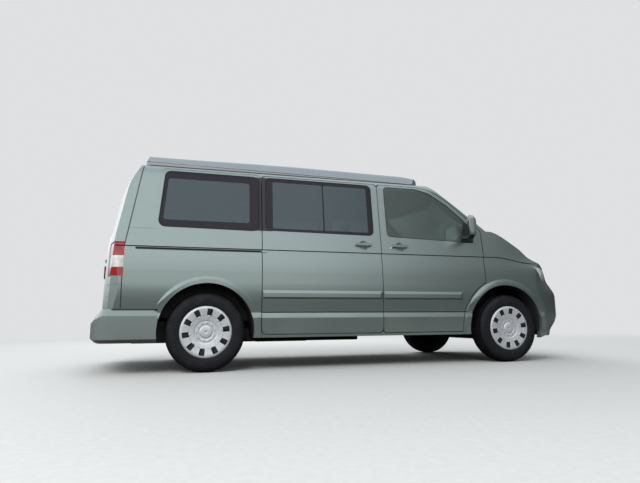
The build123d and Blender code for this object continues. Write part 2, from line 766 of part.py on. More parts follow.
def cowl():
    """Cowl beam, bulkhead and the inner pillars that carry the front doors."""
    half = BONNET_HALF + PANEL_GAP
    beam = form(0) & block(1290, FAR, -half, half, 1190, COWL_Z)
    beam &= rod_z(NOSE_AXIS_X, 0, COWL_RADIUS, 0, 2000)
    panel = block(1290, 1312, -900, 900, FLOOR_TOP_Z, 1190)
    posts = both_sides(block(FRONT_DOOR_FRONT_X + PANEL_GAP, 1350, 800, 900, FLOOR_TOP_Z, PILLAR_FOOT_Z))
    inner = (panel + posts) & form(SHELL + 2)
    inner -= both_sides(wheelhouse(1, LINER_THICKNESS))
    pads = both_sides(block(1480, 1640, 640, 700, 1290, COWL_Z - 8)) & form(BONNET_THICKNESS / 2)
    pads &= rod_z(NOSE_AXIS_X, 0, COWL_RADIUS + PANEL_GAP - SEAT_GAP, 0, 2000)
    return beam + inner + pads


def wing_right():
    """Front wing with its arch; behind the arch it runs down to the skirt."""
    foot_x = FRONT_DOOR_FRONT_X + PANEL_GAP
    shell = form(0) - form(SHELL)
    zone = block(foot_x, FAR, -FAR, -BONNET_HALF - PANEL_GAP, SKIRT_Z, PILLAR_FOOT_Z)
    wing = (shell & zone) - bumper_zone() - lamp_zone()
    radius = FRONT_ARCH_RADIUS + FLARE_WIDTH + DOOR_ARCH_GAP - PANEL_GAP
    ring = shell & arch_bar(1, radius, -FAR, -700) & block(0, foot_x, -FAR, 0, SKIRT_Z, 1000)
    wing = wing + ring + (flare(1) - bumper_zone())
    return wing - wheelhouse(1, 0) - liner_seat(1)


def front_bumper():
    """Front bumper with an air slot; the arch lip runs on into it."""
    bumper = (form(0) - form(SHELL)) & bumper_zone()
    bumper &= block(0, FAR, -FAR, FAR, BUMPER_FRONT_LOW_Z, 1000)
    bumper += both_sides(flare(1)) & bumper_zone()
    bumper -= both_sides(wheelhouse(1, 0) + liner_seat(1))
    slot = round_outline([(-520, 330), (520, 330), (500, 452), (-500, 452)], 30)
    bumper -= front_prism(slot, 1900, FAR)
    return bumper - block(0, FAR, -GRILLE_HALF, GRILLE_HALF, GRILLE_LOW_Z, 1200)


def grille():
    """Grille between the lamps: a frame with three slats."""
    body = (form(8) - form(44)) & block(
        2000, FAR, -GRILLE_HALF, GRILLE_HALF, GRILLE_LOW_Z, 1000)
    body -= bonnet_zone(-2)
    step = (GRILLE_TOP_Z - GRILLE_LOW_Z) / 4
    for row in range(4):
        low = GRILLE_LOW_Z + row * step + 8
        body -= block(2000, FAR, -GRILLE_HALF + 16, GRILLE_HALF - 16, low, low + step - 14) - form(30)
    return body


def headlamps():
    """Both headlamps, which wrap the front corners."""
    lamps = (form(2) - form(LAMP_DEPTH)) & lamp_zone()
    return lamps & both_sides(block(1800, FAR, GRILLE_HALF, FAR, 700, 1100))


def tail_lamps():
    """Both tail lamps, which stand at the rear corners."""
    lamps = (form(2) - form(LAMP_DEPTH)) & tail_zone(0)
    lamp_block = block(-FAR, 0, LAMP_TAIL_HALF, FAR, LAMP_TAIL_LOW_Z, LAMP_TAIL_TOP_Z)
    return lamps & both_sides(lamp_block)


def rear_bumper():
    """Rear bumper: a bowed bar that wraps forward to the rear arches, with a sloping top edge."""
    outlines = [(BUMPER_LOW_Z - 30, 26), (BUMPER_LOW_Z, -BUMPER_PROUD),
                (BUMPER_TOP_Z - BUMPER_SLOPE, -BUMPER_PROUD), (BUMPER_TOP_Z, 28)]
    bar = None
    for (low_z, low_inset), (top_z, top_inset) in zip(outlines[:-1], outlines[1:]):
        band = loft([Pos(0, 0, low_z) * plan_outline(low_inset, BUMPER_TAIL_X),
                     Pos(0, 0, top_z) * plan_outline(top_inset, BUMPER_TAIL_X)], ruled=True)
        bar = band if bar is None else bar + band
    bar &= block(-FAR, BUMPER_FRONT_X, -FAR, FAR, 0, 1000)
    hollow = extrude(plan_outline(SHELL + 10, BUMPER_TAIL_X), amount=BUMPER_TOP_Z - 30)
    hollow += block(-2290, FAR, -FAR, FAR, 0, 1000) & extrude(plan_outline(SHELL + 10, BUMPER_TAIL_X), amount=1000)
    bumper = bar - hollow
    return bumper - both_sides(wheelhouse(-1, 0) + (wheelhouse(-1, LINER_THICKNESS) & form(25)))


def wheel_arch_liners():
    """Four curved liners inside the arches."""
    liners = None
    for side in (1, -1):
        ring = wheelhouse(side, LINER_THICKNESS) - wheelhouse(side, 0)
        ring = ring & form(25) & block(-FAR, FAR, -FAR, 0, SKIRT_Z + 20, 1000)
        liners = ring if liners is None else liners + ring
    return both_sides(liners)


def floor_pan():
    """Floor between the skirts with two rails and the boxes over the rear wheels cut out."""
    low = FLOOR_TOP_Z - FLOOR_THICKNESS
    pan = block(-2290, 1283, -900, 900, low, FLOOR_TOP_Z) & form(FRAME_DEPTH)
    for y in (-RAIL_INNER_Y - 60, RAIL_INNER_Y):
        pan += block(-2260, RAIL_FRONT_X, y, y + 60, low - RAIL_HEIGHT, low)
    for x in CROSSMEMBERS_X:
        pan += block(x, x + 60, -420, 420, low - 60, low)
    sills = both_sides(block(-1020, 1060, -812, -760, SKIRT_Z + 20, low))
    pan += sills + block(BOARD_REAR_X, BOARD_FRONT_X, -BOARD_HALF, BOARD_HALF, FLOOR_TOP_Z, FLOOR_TOP_Z + 8)
    pan -= both_sides(wheelhouse(1, LINER_THICKNESS) + wheelhouse(-1, LINER_THICKNESS))
    return pan


def tyre():
    """Tyre section turned about the wheel's axis, centred on the origin; its tread is left plain."""
    half = TYRE_WIDTH / 2
    one_side = [(RIM_RADIUS, half - 14), (TYRE_RADIUS - 84, half), (TYRE_RADIUS - 40, half - 1),
                (TYRE_RADIUS, half - 30)]
    other_side = [(radius, -y) for radius, y in reversed(one_side)]
    return revolve(make_face(Polyline(*one_side, *other_side, close=True)), axis=Axis.Y)


def rim():
    """Steel rim with a wheel cover: ten windows near its edge and a ring of studs round its middle."""
    half = TYRE_WIDTH / 2
    face_y = -half + 4
    barrel = make_face(Polyline(
        (RIM_RADIUS - 12, -half + 14), (RIM_RADIUS, -half + 14), (RIM_RADIUS, half - 14),
        (RIM_RADIUS - 12, half - 14), close=True))
    cover = make_face(Polyline(
        (0, face_y + 5), (52, face_y + 5), (60, face_y + 12), (88, face_y + 11), (96, face_y + 5),
        (190, face_y - 6), (COVER_RADIUS - 5, face_y - 3), (COVER_RADIUS, face_y + 4.4),
        (RIM_RADIUS, -half + 13.7), (RIM_RADIUS - 12, face_y + 22), (140, face_y + 26),
        (0, face_y + 34), close=True))
    hub = make_face(Polyline((0, -HUB_INSET), (75, -HUB_INSET), (75, face_y + 30), (0, face_y + 30), close=True))
    wheel = revolve(barrel + cover + hub, axis=Axis.Y)
    for index in range(COVER_WINDOWS):
        turn = Rot(0, 360 / COVER_WINDOWS * index, 0)
        wheel -= turn * Pos(WINDOW_RADIUS, face_y, 0) * Box(WINDOW_LENGTH, 80, WINDOW_WIDTH)
    for index in range(COVER_STUDS):
        turn = Rot(0, 360 / COVER_STUDS * (index + 0.5), 0)
        wheel += turn * Pos(STUD_RADIUS, face_y + 12, 0) * Rot(90, 0, 0) * Cylinder(5, 10)
    return wheel


def wheel_places():
    """Name, X and side of each wheel."""
    return [
        ("front_right", FRONT_AXLE_X, -1),
        ("front_left", FRONT_AXLE_X, 1),
        ("rear_right", REAR_AXLE_X, -1),
        ("rear_left", REAR_AXLE_X, 1),
    ]


def knuckle_right():
    """Front upright with its brake disc, hub and strut; it turns about the kingpin."""
    x, z, y = FRONT_AXLE_X, TYRE_RADIUS, -KINGPIN_Y
    post = block(x - 26, x + 26, y - 20, y + 20, LOWER_ARM_Z + SEAT_GAP, z + 96)
    hub_y = -HALF_TRACK - HUB_INSET + SEAT_GAP
    disc = rod_y(x, z, 150, y - BRAKE_OFFSET - 16, y - BRAKE_OFFSET)
    hub = rod_y(x, z, 55, hub_y, y)
    arm = block(x - 20, x + 20, y, y + 100, z + 70, z + 96)
    strut = rod_z(x, y + 92, 28, z + 96, 735)
    return post + disc + hub + arm + strut


def front_subframe():
    """Front crossmember with a lower arm to each kingpin."""
    x = FRONT_AXLE_X
    member = block(x - 70, x + 70, -380, 380, 215, 275)
    arms = block(x - ARM_HALF, x + ARM_HALF, -KINGPIN_Y, -360, LOWER_ARM_Z - 26, LOWER_ARM_Z)
    arms += rod_z(x, -KINGPIN_Y, ARM_HALF, LOWER_ARM_Z - 26, LOWER_ARM_Z)
    arms = both_sides(arms + block(x - ARM_HALF, x + ARM_HALF, -380, -340, LOWER_ARM_Z - 26, 250))
    legs = both_sides(block(x - 60, x + 60, -400, -340, 215, ENGINE_LOW_Z))
    rail_low = FLOOR_TOP_Z - FLOOR_THICKNESS - RAIL_HEIGHT
    ears = both_sides(block(x - 60, x + 60, -RAIL_INNER_Y - 60, -390, 250, rail_low))
    return member + arms + legs + ears


def rear_axle():
    """Rear trailing arms on a crossmember, with a hub stub and a brake disc each side."""
    x, z = REAR_AXLE_X, TYRE_RADIUS
    top = FLOOR_TOP_Z - FLOOR_THICKNESS - RAIL_HEIGHT
    member = block(x + 380, x + 450, -560, 560, top - 70, top)
    arm = block(x - 30, x + 400, -640, -580, top - 60, top + 40)
    stub = rod_y(x, z, 50, -HALF_TRACK - HUB_INSET + SEAT_GAP, -600)
    disc = rod_y(x, z, 145, -HALF_TRACK + 40, -HALF_TRACK + 56)
    link = block(x + 380, x + 450, -640, -540, top - 70, top)
    return member + both_sides(arm + stub + disc + link)


def interior():
    """Nodes that show through the glass."""
    floor = FLOOR_TOP_Z
    cabin = form(FRAME_DEPTH + 6)
    nodes = {}
    rear = FRONT_DOOR_FRONT_X + PANEL_GAP
    dash = round_outline([(rear, 840), (rear, 1250), (1150, 1235), (1060, 1120), (1090, 900)],
                         [0, 0, 60, 60, 40])
    nodes["dashboard"] = side_prism(dash, -820, 820) & cabin
    hoop = revolve(Plane.XZ * Pos(185, 0) * RegularPolygon(15, 8), axis=Axis.Z)
    wheel = hoop + Cylinder(40, 26) + Box(350, 34, 14) + Pos(0, 60, 0) * Box(34, 120, 14)
    column = Pos(0, 0, -105) * Cylinder(22, 190)
    wheel = Pos(930, 370, 1130) * Rot(0, -62, 0) * (wheel + column)
    nodes["steering_wheel"] = wheel - nodes["dashboard"]
    seat_parts = None
    for y in (-430, 430):
        cushion = fillet(block(430, 930, y - 245, y + 245, 720, 850).edges(), 40)
        back_outline = round_outline([(470, 856), (330, 1400), (250, 1400), (330, 800), (426, 800)],
                                     [0, 40, 40, 0, 0])
        back = side_prism(back_outline, y - 240, y + 240)
        head = fillet(block(225, 325, y - 130, y + 130, 1424, 1600).edges(), 34)
        posts = block(270, 290, y - 70, y - 56, 1380, 1440) + block(270, 290, y + 56, y + 70, 1380, 1440)
        base = block(460, 900, y - 200, y + 200, floor, 735)
        seat = cushion + back + head + posts + base
        seat_parts = seat if seat_parts is None else seat_parts + seat
    nodes["front_seats"] = seat_parts
    bench = block(-1330, -760, -600, 430, floor, 760)
    bench = bench + fillet(block(-1330, -730, -610, 440, 740, 880).edges(), 40)
    back_outline = round_outline([(-1330, 860), (-1460, 1420), (-1560, 1420), (-1450, 820), (-1330, 820)],
                                 [0, 45, 45, 0, 0])
    bench += side_prism(back_outline, -600, 430)
    for y in (-345, 175):
        bench += fillet(block(-1580, -1470, y - 120, y + 120, 1400, 1580).edges(), 34)
    nodes["rear_bench"] = bench
    unit = block(-2000, 60, 480, 835, floor, 1170) & cabin
    unit -= both_sides(wheelhouse(-1, LINER_THICKNESS + 2))
    nodes["kitchen_unit"] = unit
    return nodes


def bellows():
    """Folded canvas ring round the hatch, under the lid."""
    outer = block(HATCH_REAR_X - 60, HATCH_FRONT_X + 60, -HATCH_HALF - 60, HATCH_HALF + 60, 1760, 1862)
    ring = outer - block(HATCH_REAR_X - 20, HATCH_FRONT_X + 20, -HATCH_HALF - 20, HATCH_HALF + 20, 1700, 1900)
    return ring - front_prism(deck_section(), -FAR, FAR)


def wipers():
    """Two wiper arms that lie on the foot of the windscreen."""
    layer = (form(-16) - form(0)) & rod_z(NOSE_AXIS_X, 0, COWL_RADIUS - 10, 1200, 1500)
    arms = None
    for pivot_y, tip_y in ((-560, 60), (40, 640)):
        line = make_face(Polyline((pivot_y, COWL_Z + 16), (pivot_y + 24, COWL_Z - 4),
                                  (tip_y, COWL_Z + 62), (tip_y, COWL_Z + 76), close=True))
        arm = front_prism(line, 1200, 1700)
        arms = arm if arms is None else arms + arm
    return layer & arms


def slide_rail():
    """Rail below the rear window that the sliding door's carrier runs on."""
    band = block(-2046, SLIDE_DOOR_REAR_X - PANEL_GAP - 2, -FAR, -300, SHOULDER_Z - 18, SHOULDER_Z - 4)
    return (form(-8) - form(0)) & band


def underbody():
    """Engine, tank and exhaust."""
    engine = block(1340, 1960, -380, 380, ENGINE_LOW_Z, 1000)
    tank = fillet(block(-900, -100, -400, 330, 262, 370).edges(), 30)
    y, z = 560, 220
    pipe = Pos(-850, y, z) * Rot(0, 90, 0) * Cylinder(26, 2600)
    silencer = Pos(-500, y, z + 42) * Rot(0, 90, 0) * Cylinder(72, 600)
    floor_low = FLOOR_TOP_Z - FLOOR_THICKNESS
    hangers = None
    for x in (-700, -300):
        hanger = block(x - 12, x + 12, y - 20, y + 20, z + 100, floor_low)
        hangers = hanger if hangers is None else hangers + hanger
    return {"engine_block": engine, "fuel_tank": tank, "exhaust": pipe + silencer + hangers}


def all_nodes():
    """Every node of the van by name."""
    nodes = {}
    side_left = mirror(front_door_hole(side_frame_right() - middle_window()), about=Plane.XZ)
    side_right = sliding_door_hole(front_door_hole(side_frame_right()))
    side_right += strikers((760, 1100), 172, 16)
    side_right += strikers((760, 1100), 130, 16) + strikers((760, 1100), -978, 16)
    nodes["side_frame_right"] = side_right
    nodes["side_frame_left"] = side_left + mirror(strikers((760, 1100), 172, 16), about=Plane.XZ)
    nodes["roof_frame"] = roof_frame() + gate_pads()
    nodes["cowl"] = cowl()
    nodes["front_wings"] = both_sides(wing_right())
    nodes["front_bumper"] = front_bumper()
    nodes["grille"] = grille()
    nodes["headlamps"] = headlamps()
    nodes["tail_lamps"] = tail_lamps()
    nodes["rear_bumper"] = rear_bumper()
    nodes["wheel_arch_liners"] = wheel_arch_liners()
    nodes["floor_pan"] = floor_pan()
    nodes["windscreen"] = glass_layer() & screen_prism()
    left_panes = mirror(glass_layer() & (quarter_window() + middle_window()), about=Plane.XZ)
    nodes["side_glass"] = (glass_layer() & quarter_window()) + left_panes
    nodes["sliding_door"] = sliding_door()
    nodes["sliding_door_glass"] = glass_layer() & middle_window()
    nodes["slide_rail"] = slide_rail()
    nodes["wipers"] = wipers()
    nodes["bellows"] = bellows()
    nodes["front_subframe"] = front_subframe()
    nodes["rear_axle"] = rear_axle()
    nodes.update(underbody())
    nodes.update(interior())
    nodes["bonnet"] = bonnet()
    nodes["roof_lid"] = roof_lid()
    nodes["tailgate"] = tailgate()
    nodes["tailgate_glass"] = glass_layer() & tailgate_window()
    pairs = {
        "front_door": front_door(),
        "door_glass": glass_layer() & right(front_window_outline(0)),
        "mirror": mirror_right(),
        "knuckle": knuckle_right(),
    }
    for name, shape in pairs.items():
        nodes[name + "_right"] = shape
        nodes[name + "_left"] = mirror(shape, about=Plane.XZ)
    for name, x, side in wheel_places():
        turn = Pos(x, side * HALF_TRACK, TYRE_RADIUS) * Rot(0, 0, 0 if side < 0 else 180)
        nodes["tyre_" + name] = turn * tyre()
        nodes["rim_" + name] = turn * rim()
    return nodes


os.makedirs("parts", exist_ok=True)
for node_name, node_shape in all_nodes().items():
    export_step(node_shape, f"parts/{node_name}.step")
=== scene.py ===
import math

import bmesh
import bpy
import numpy as np
from mathutils import Matrix, Vector
from mathutils.bvhtree import BVHTree


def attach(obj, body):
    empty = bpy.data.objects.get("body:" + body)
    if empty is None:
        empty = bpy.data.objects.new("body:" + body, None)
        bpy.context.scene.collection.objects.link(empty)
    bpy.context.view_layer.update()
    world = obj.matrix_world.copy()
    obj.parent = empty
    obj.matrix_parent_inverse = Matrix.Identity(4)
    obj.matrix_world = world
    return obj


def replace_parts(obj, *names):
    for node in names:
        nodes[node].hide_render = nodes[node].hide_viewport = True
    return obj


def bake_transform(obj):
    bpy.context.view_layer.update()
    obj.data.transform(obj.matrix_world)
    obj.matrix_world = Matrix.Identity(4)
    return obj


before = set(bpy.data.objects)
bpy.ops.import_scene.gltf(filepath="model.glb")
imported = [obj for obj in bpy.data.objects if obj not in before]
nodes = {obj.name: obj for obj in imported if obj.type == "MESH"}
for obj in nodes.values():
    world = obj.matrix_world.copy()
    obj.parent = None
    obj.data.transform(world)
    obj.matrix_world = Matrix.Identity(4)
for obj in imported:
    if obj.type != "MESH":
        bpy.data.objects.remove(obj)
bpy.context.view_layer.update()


# Painted body panels: pressed steel doors, wings, bonnet, tailgate and frame, and the bumpers of the same colour.
# A metallic base coat with fine flakes lies under a clear lacquer, and road dust clings to the sills; dark lines of
# painted shade mark the flanks' grooves and the tailgate's gap.
# The nose panels, side frames and rear bumper are bent copies of their nodes, the panels with small round rims.
class Wire:
    """A socket in a material's node tree. Sums, products and powers on it add Math nodes."""

    def __init__(self, tree, socket=None):
        self.tree = tree
        self.socket = socket

    def node(self, kind, settings=None, inputs=None, output=0):
        """A node of this kind with its settings made first, then its inputs by name or by number."""
        made = self.tree.nodes.new("ShaderNode" + kind)
        for name, value in (settings or {}).items():
            setattr(made, name, value)
        for name, value in (inputs or {}).items():
            if isinstance(value, Wire):
                self.tree.links.new(value.socket, made.inputs[name])
            else:
                made.inputs[name].default_value = value
        return Wire(self.tree, made.outputs[output] if made.outputs else None)

    def maths(self, operation, *terms):
        """A Math node's result from these terms in their order."""
        return self.node("Math", {"operation": operation}, dict(enumerate(terms)))

    def __add__(self, other):
        return self.maths("ADD", self, other)

    def __sub__(self, other):
        return self.maths("SUBTRACT", self, other)

    def __rsub__(self, other):
        return self.maths("SUBTRACT", other, self)

    def __mul__(self, other):
        return self.maths("MULTIPLY", self, other)

    __radd__ = __add__
    __rmul__ = __mul__

    def over(self, least):
        """The value, but no less than least."""
        return self.maths("MAXIMUM", self, least)

    def root(self):
        """Square root."""
        return self.maths("SQRT", self)

    def wave(self):
        """Sine of the value in radians."""
        return self.maths("SINE", self)

    def size(self):
        """The value without its sign."""
        return self.maths("ABSOLUTE", self)

    def band(self, middle, half, soft=0.001):
        """1 where the value lies within half of middle, 0 elsewhere."""
        return 1 - (self - middle).size().step(half - soft, half + soft)

    def step(self, low, high):
        """0 below low and 1 above high, with a smooth way between."""
        return self.node("MapRange", {"interpolation_type": "SMOOTHSTEP"}, {
            "Value": self, "From Min": low, "From Max": high})

    def mix(self, first, second):
        """Colour between first and second by this share."""
        return self.node("Mix", {"data_type": "RGBA"}, {0: self, 6: first, 7: second}, 2)

    def axes(self):
        """X, Y and Z of a place as three wires."""
        split = self.node("SeparateXYZ", None, {"Vector": self})
        return [Wire(self.tree, split.socket.node.outputs[index]) for index in range(3)]

    def noise(self, scale, detail):
        """Noise over a place."""
        return self.node("TexNoise", None, {"Vector": self, "Scale": scale, "Detail": detail})

    def relief(self, strength, distance):
        """Normals bent by the slope of a height."""
        return self.node("Bump", None, {"Strength": strength, "Distance": distance, "Height": self})

    def principled(self, inputs):
        """A principled surface with these inputs."""
        return self.node("BsdfPrincipled", None, inputs)

    def blended(self, share, first, second):
        """A surface between first and second by a share."""
        return self.node("MixShader", None, {"Fac": share, 1: first, 2: second})

    def close(self, surface):
        """Joins a surface, or the principled one that has these inputs, to the material's output."""
        if isinstance(surface, dict):
            surface = self.principled(surface)
        self.node("OutputMaterial", None, {"Surface": surface})


def new_material(name):
    """An empty material and the wire of its Object coordinates, which its nodes start from."""
    material = bpy.data.materials.new(name)
    material.use_nodes = True
    material.node_tree.nodes.clear()
    return material, Wire(material.node_tree).node("TexCoord", None, None, 3)


NOSE_RISE = (1.42, 1.86)
DUST = (0.085, 0.082, 0.068, 1)
# Black of the pillar film, also the colour of the painted shade lines in the flanks' grooves and the tailgate's gap
FILM_AND_SHADE_BLACK = (0.012, 0.010, 0.016, 1)
# Middle and half length of what is dark on the flanks: the black film on the pillar, and the painted shade lines in
# the grooves, with their soft edge
FILM_X, FILM_Z = (-0.985, 0.09), (1.4805, 0.2575)
SILL_X, SILL_Z = (0.035, 1.02), (0.4985, 0.0050)
SHOULDER_REAR, SHOULDER_FRONT, SHOULDER_Z, SHOULDER_FALL = -2.12, 1.86, 1.0490, 0.0535
GATE_LEAN, GATE_FOOT, GATE_REAR, GATE_Z = 0.1607, -2.3009, -2.137, (1.162, 0.628)
SHADE_LINE_SOFT = 0.0012


def paint(name, colour, flake, dust, film_and_shade_lines=False):
    """Metallic lacquer: flakes lighten the base a little, dust lies on the lowest parts.
    With the last argument set, the pillar between the side panes is black film from pane to pane, and painted shade
    darkens the flanks' grooves and the tailgate's gap."""
    material, place = new_material(name)
    x, y, z = place.axes()
    flakes = place.noise(1400.0, 1.0)
    drift = place.noise(2.2, 3.0)
    peel = place.noise(60.0, 1.0)
    bright = tuple(min(channel * (1 + flake), 1.0) for channel in colour)
    dull = tuple(channel * (1 - flake) for channel in colour)
    base = flakes.step(0.38, 0.62).mix((*dull, 1), (*bright, 1))
    grime = (1 - z.step(0.2, 0.62)) * (0.35 + 0.65 * drift.step(0.35, 0.7)) * dust
    base = grime.mix(base, DUST)
    metal = 0.88 * (1 - grime)
    lacquer = 1 - grime
    if film_and_shade_lines:
        strip = x.band(*FILM_X) * z.band(*FILM_Z) * y.size().step(0.79, 0.80)
        flank = y.size().step(0.895, 0.900)
        # Painted shade: dark lines in the sill's groove, under the shoulder's ledge and in the tailgate's gap, where
        # shade falls
        sill_painted_shade = z.band(*SILL_Z, SHADE_LINE_SOFT) * x.band(*SILL_X) * flank
        shoulder = z + SHOULDER_FALL * x.step(*NOSE_RISE)
        along = x.step(SHOULDER_REAR, SHOULDER_REAR + 0.01) * (1 - x.step(SHOULDER_FRONT, SHOULDER_FRONT + 0.01))
        shoulder_painted_shade = shoulder.band(SHOULDER_Z, 0.0036, SHADE_LINE_SOFT) * along * flank
        gate_edge = (z * GATE_LEAN + GATE_FOOT).over(GATE_REAR)
        gate_gap_painted_shade = (x - gate_edge).band(0.0, 0.0042, SHADE_LINE_SOFT) * y.size().step(0.80, 0.81) * z.band(*GATE_Z)
        # The pillar's black film is its own colour; the three lines beside it are painted shade
        film_and_painted_shade = strip.over(sill_painted_shade).over(0.9 * shoulder_painted_shade).over(gate_gap_painted_shade)
        base = film_and_painted_shade.mix(base, FILM_AND_SHADE_BLACK)
        metal = metal * (1 - film_and_painted_shade)
        lacquer = lacquer * (1 - 0.75 * film_and_painted_shade)
    bump = peel.relief(0.008, 0.002)
    place.close({
        "Base Color": base, "Metallic": metal, "Roughness": 0.27 + 0.08 * flakes + 0.4 * grime,
        "Coat Weight": lacquer, "Coat Roughness": 0.03, "Coat IOR": 1.45, "Normal": bump})
    return material


WELD_DISTANCE = 0.00002


def soften(piece, width, angle=32):
    """Joins a CAD mesh's loose triangles and rounds its edges; the mesh itself stays as it is."""
    weld = piece.modifiers.new("joined", "WELD")
    weld.merge_threshold = WELD_DISTANCE
    bevel = piece.modifiers.new("round edges", "BEVEL")
    bevel.width = width
    bevel.segments = 2
    bevel.limit_method = "ANGLE"
    bevel.angle_limit = math.radians(angle)
    bevel.harden_normals = True


def dress(node_name, material, width=0.0, angle=32):
    """Gives a CAD node its material and its rounded edges."""
    piece = nodes[node_name]
    piece.data.materials.clear()
    piece.data.materials.append(material)
    if width:
        soften(piece, width, angle)


body_paint = paint("sage lacquer", (0.320, 0.385, 0.370), 0.10, 0.55, True)
for name in ("roof_frame", "sliding_door", "front_door_right", "front_door_left", "tailgate"):
    dress(name, body_paint)


def edge_step(value, low, high):
    """0 below low, 1 above high, cubic between."""
    share = np.clip((value - low) / (high - low), 0, 1)
    return share * share * (3 - 2 * share)


def joined_copy(node_name):
    """A node's mesh to work on, its loose triangles joined."""
    copy = bmesh.new()
    copy.from_mesh(nodes[node_name].data)
    bmesh.ops.remove_doubles(copy, verts=copy.verts, dist=WELD_DISTANCE)
    return copy


def smooth_mesh(name, shaped):
    """A smooth mesh made of a working copy, which is freed."""
    mesh = bpy.data.meshes.new(name)
    shaped.to_mesh(mesh)
    shaped.free()
    mesh.polygons.foreach_set("use_smooth", np.full(len(mesh.polygons), True))
    return mesh


def as_piece(name, mesh, material, body):
    """An object of this mesh and material.
    It rides on a body, or on none yet where that is None, as cloth that crosses a joint does."""
    mesh.materials.clear()
    mesh.materials.append(material)
    piece = bpy.data.objects.new(name, mesh)
    bpy.context.scene.collection.objects.link(piece)
    if body:
        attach(piece, body)
    return piece


def refined(name, node_name, longest, angle):
    """A joined copy of a node, smooth up to an angle, with edges above the longest length halved first so that a bent
    face stays smooth."""
    shaped = joined_copy(node_name)
    for _ in range(5 if longest else 0):
        long_edges = [edge for edge in shaped.edges if edge.calc_length() > longest]
        if not long_edges:
            break
        bmesh.ops.subdivide_edges(shaped, edges=long_edges, cuts=1)
        bmesh.ops.triangulate(shaped, faces=[face for face in shaped.faces if len(face.verts) > 3])
    mesh = smooth_mesh(name, shaped)
    mesh.set_sharp_from_angle(angle=math.radians(angle))
    return mesh


def move_points(mesh, change):
    """Puts a mesh's points where change moves them."""
    points = np.empty(len(mesh.vertices) * 3, np.float32)
    mesh.vertices.foreach_get("co", points)
    points = change(points.reshape(-1, 3).astype(float))
    mesh.vertices.foreach_set("co", points.astype(np.float32).reshape(-1))


def reshaped(name, node_name, change, material, body, width, angle=32, longest=0.0):
    """A copy of a node's mesh whose points change moves, with rounded edges; it takes the node's place.
    Without a width the copy keeps the node's exact normals."""
    mesh = refined(name, node_name, longest, angle) if width else nodes[node_name].data.copy()
    move_points(mesh, change)
    piece = as_piece(name, mesh, material, body)
    if width:
        soften(piece, width, angle)
        piece.modifiers["round edges"].harden_normals = False
        even_out = piece.modifiers.new("even normals", "WEIGHTED_NORMAL")
        even_out.keep_sharp = False
    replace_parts(piece, node_name)


NOSE_FALL, FALL_HEIGHTS = 0.108, (0.90, 1.20)
NOSE_BACK, BACK_RUN, BACK_HEIGHTS = 0.045, (1.70, 1.92), (0.66, 0.86)
TIP_BACK, TIP_RUN = 0.065, (1.90, 2.20)
TUCK_BACK, TUCK_RUN, TUCK_HEIGHTS = 0.10, (1.95, 2.15), (0.24, 0.48)
EDGE_RAISE, RAISE_RUN, RAISE_HEIGHTS = 0.050, (1.85, 1.95), (0.205, 0.40)
CORNER_X, CORNER_DEEP, CORNER_FALL = -2.270, 0.13, 0.088
CORNER_FOOT, CORNER_HIGH = 0.36, 0.168
PANEL_EDGE, PANEL_STEP = 0.0018, 0.06


def nose(points):
    """The front end lower and shorter, as one field on every panel there. It falls over the run NOSE_RISE and over the
    height, goes back above the bumper, and tucks its lowest edge in and up. Each part is a product of cubic steps."""
    x, z = points[:, 0].copy(), points[:, 2].copy()
    fall = NOSE_FALL * edge_step(x, *NOSE_RISE) * edge_step(z, *FALL_HEIGHTS)
    back = edge_step(z, *BACK_HEIGHTS) * edge_step(x, *BACK_RUN) * (NOSE_BACK + TIP_BACK * edge_step(x, *TIP_RUN))
    tuck = edge_step(x, *TUCK_RUN) * (1 - edge_step(z, *TUCK_HEIGHTS))
    points[:, 0] = x - back - TUCK_BACK * tuck
    points[:, 2] = z - fall + EDGE_RAISE * (1 - edge_step(z, *RAISE_HEIGHTS)) * edge_step(x, *RAISE_RUN)
    return points


def bumper_corner(points):
    """The rear bumper's top slopes down to its hindmost edge: its height over the foot shrinks with the depth."""
    deep = np.clip((CORNER_X - points[:, 0]) / CORNER_DEEP, 0, 1)
    points[:, 2] -= CORNER_FALL * deep * np.clip((points[:, 2] - CORNER_FOOT) / CORNER_HIGH, 0, 1)
    return points


for name, body in {"bonnet": "bonnet", "front_wings": "body", "front_bumper": "body", "cowl": "body"}.items():
    reshaped(f"{name}_skin", name, nose, body_paint, body, PANEL_EDGE, longest=PANEL_STEP)
for side in ("right", "left"):
    reshaped(f"side_skin_{side}", f"side_frame_{side}", nose, body_paint, "body", 0.0)
reshaped("rear_bumper_skin", "rear_bumper", bumper_corner, body_paint, "body", PANEL_EDGE, 14, PANEL_STEP)


# Roof lid: a fibreglass moulding in a cooler, paler shade than the body.
# Below a dark seam, its lower band is warmer; the seam follows the lid's slope.
LID_REAR = -2.008
LID_SLOPE = math.sin(math.radians(0.66))
LID_FOOT, LID_FRONT_RISE, LID_RISE_RUN = 1.7925, 0.0205, (0.58, 0.86)
SEAM_HEIGHT, GASKET_TOP = 1.837, 1.8035
NOSE_START, NOSE_END, NOSE_DROP = 0.50, 0.897, 0.42
lid_paint, place = new_material("roof lid lacquer")
x, y, z = place.axes()
level = z + (x - LID_REAR) * LID_SLOPE
streaks = place.noise(3.0, 4.0)
base = level.step(SEAM_HEIGHT - 0.001, SEAM_HEIGHT + 0.001).mix((0.30, 0.305, 0.325, 1), (0.27, 0.305, 0.335, 1))
gasket = 1 - (z - LID_FRONT_RISE * x.step(*LID_RISE_RUN)).step(GASKET_TOP, GASKET_TOP + 0.001)
seams = level.band(SEAM_HEIGHT, 0.0052, 0.0008).over(gasket)
place.close({
    "Base Color": seams.mix(base, (0.016, 0.016, 0.020, 1)), "Metallic": 0.35 * (1 - seams),
    "Roughness": 0.32 + 0.2 * streaks.step(0.3, 0.8), "Coat Weight": 0.6 * (1 - seams), "Coat Roughness": 0.05})


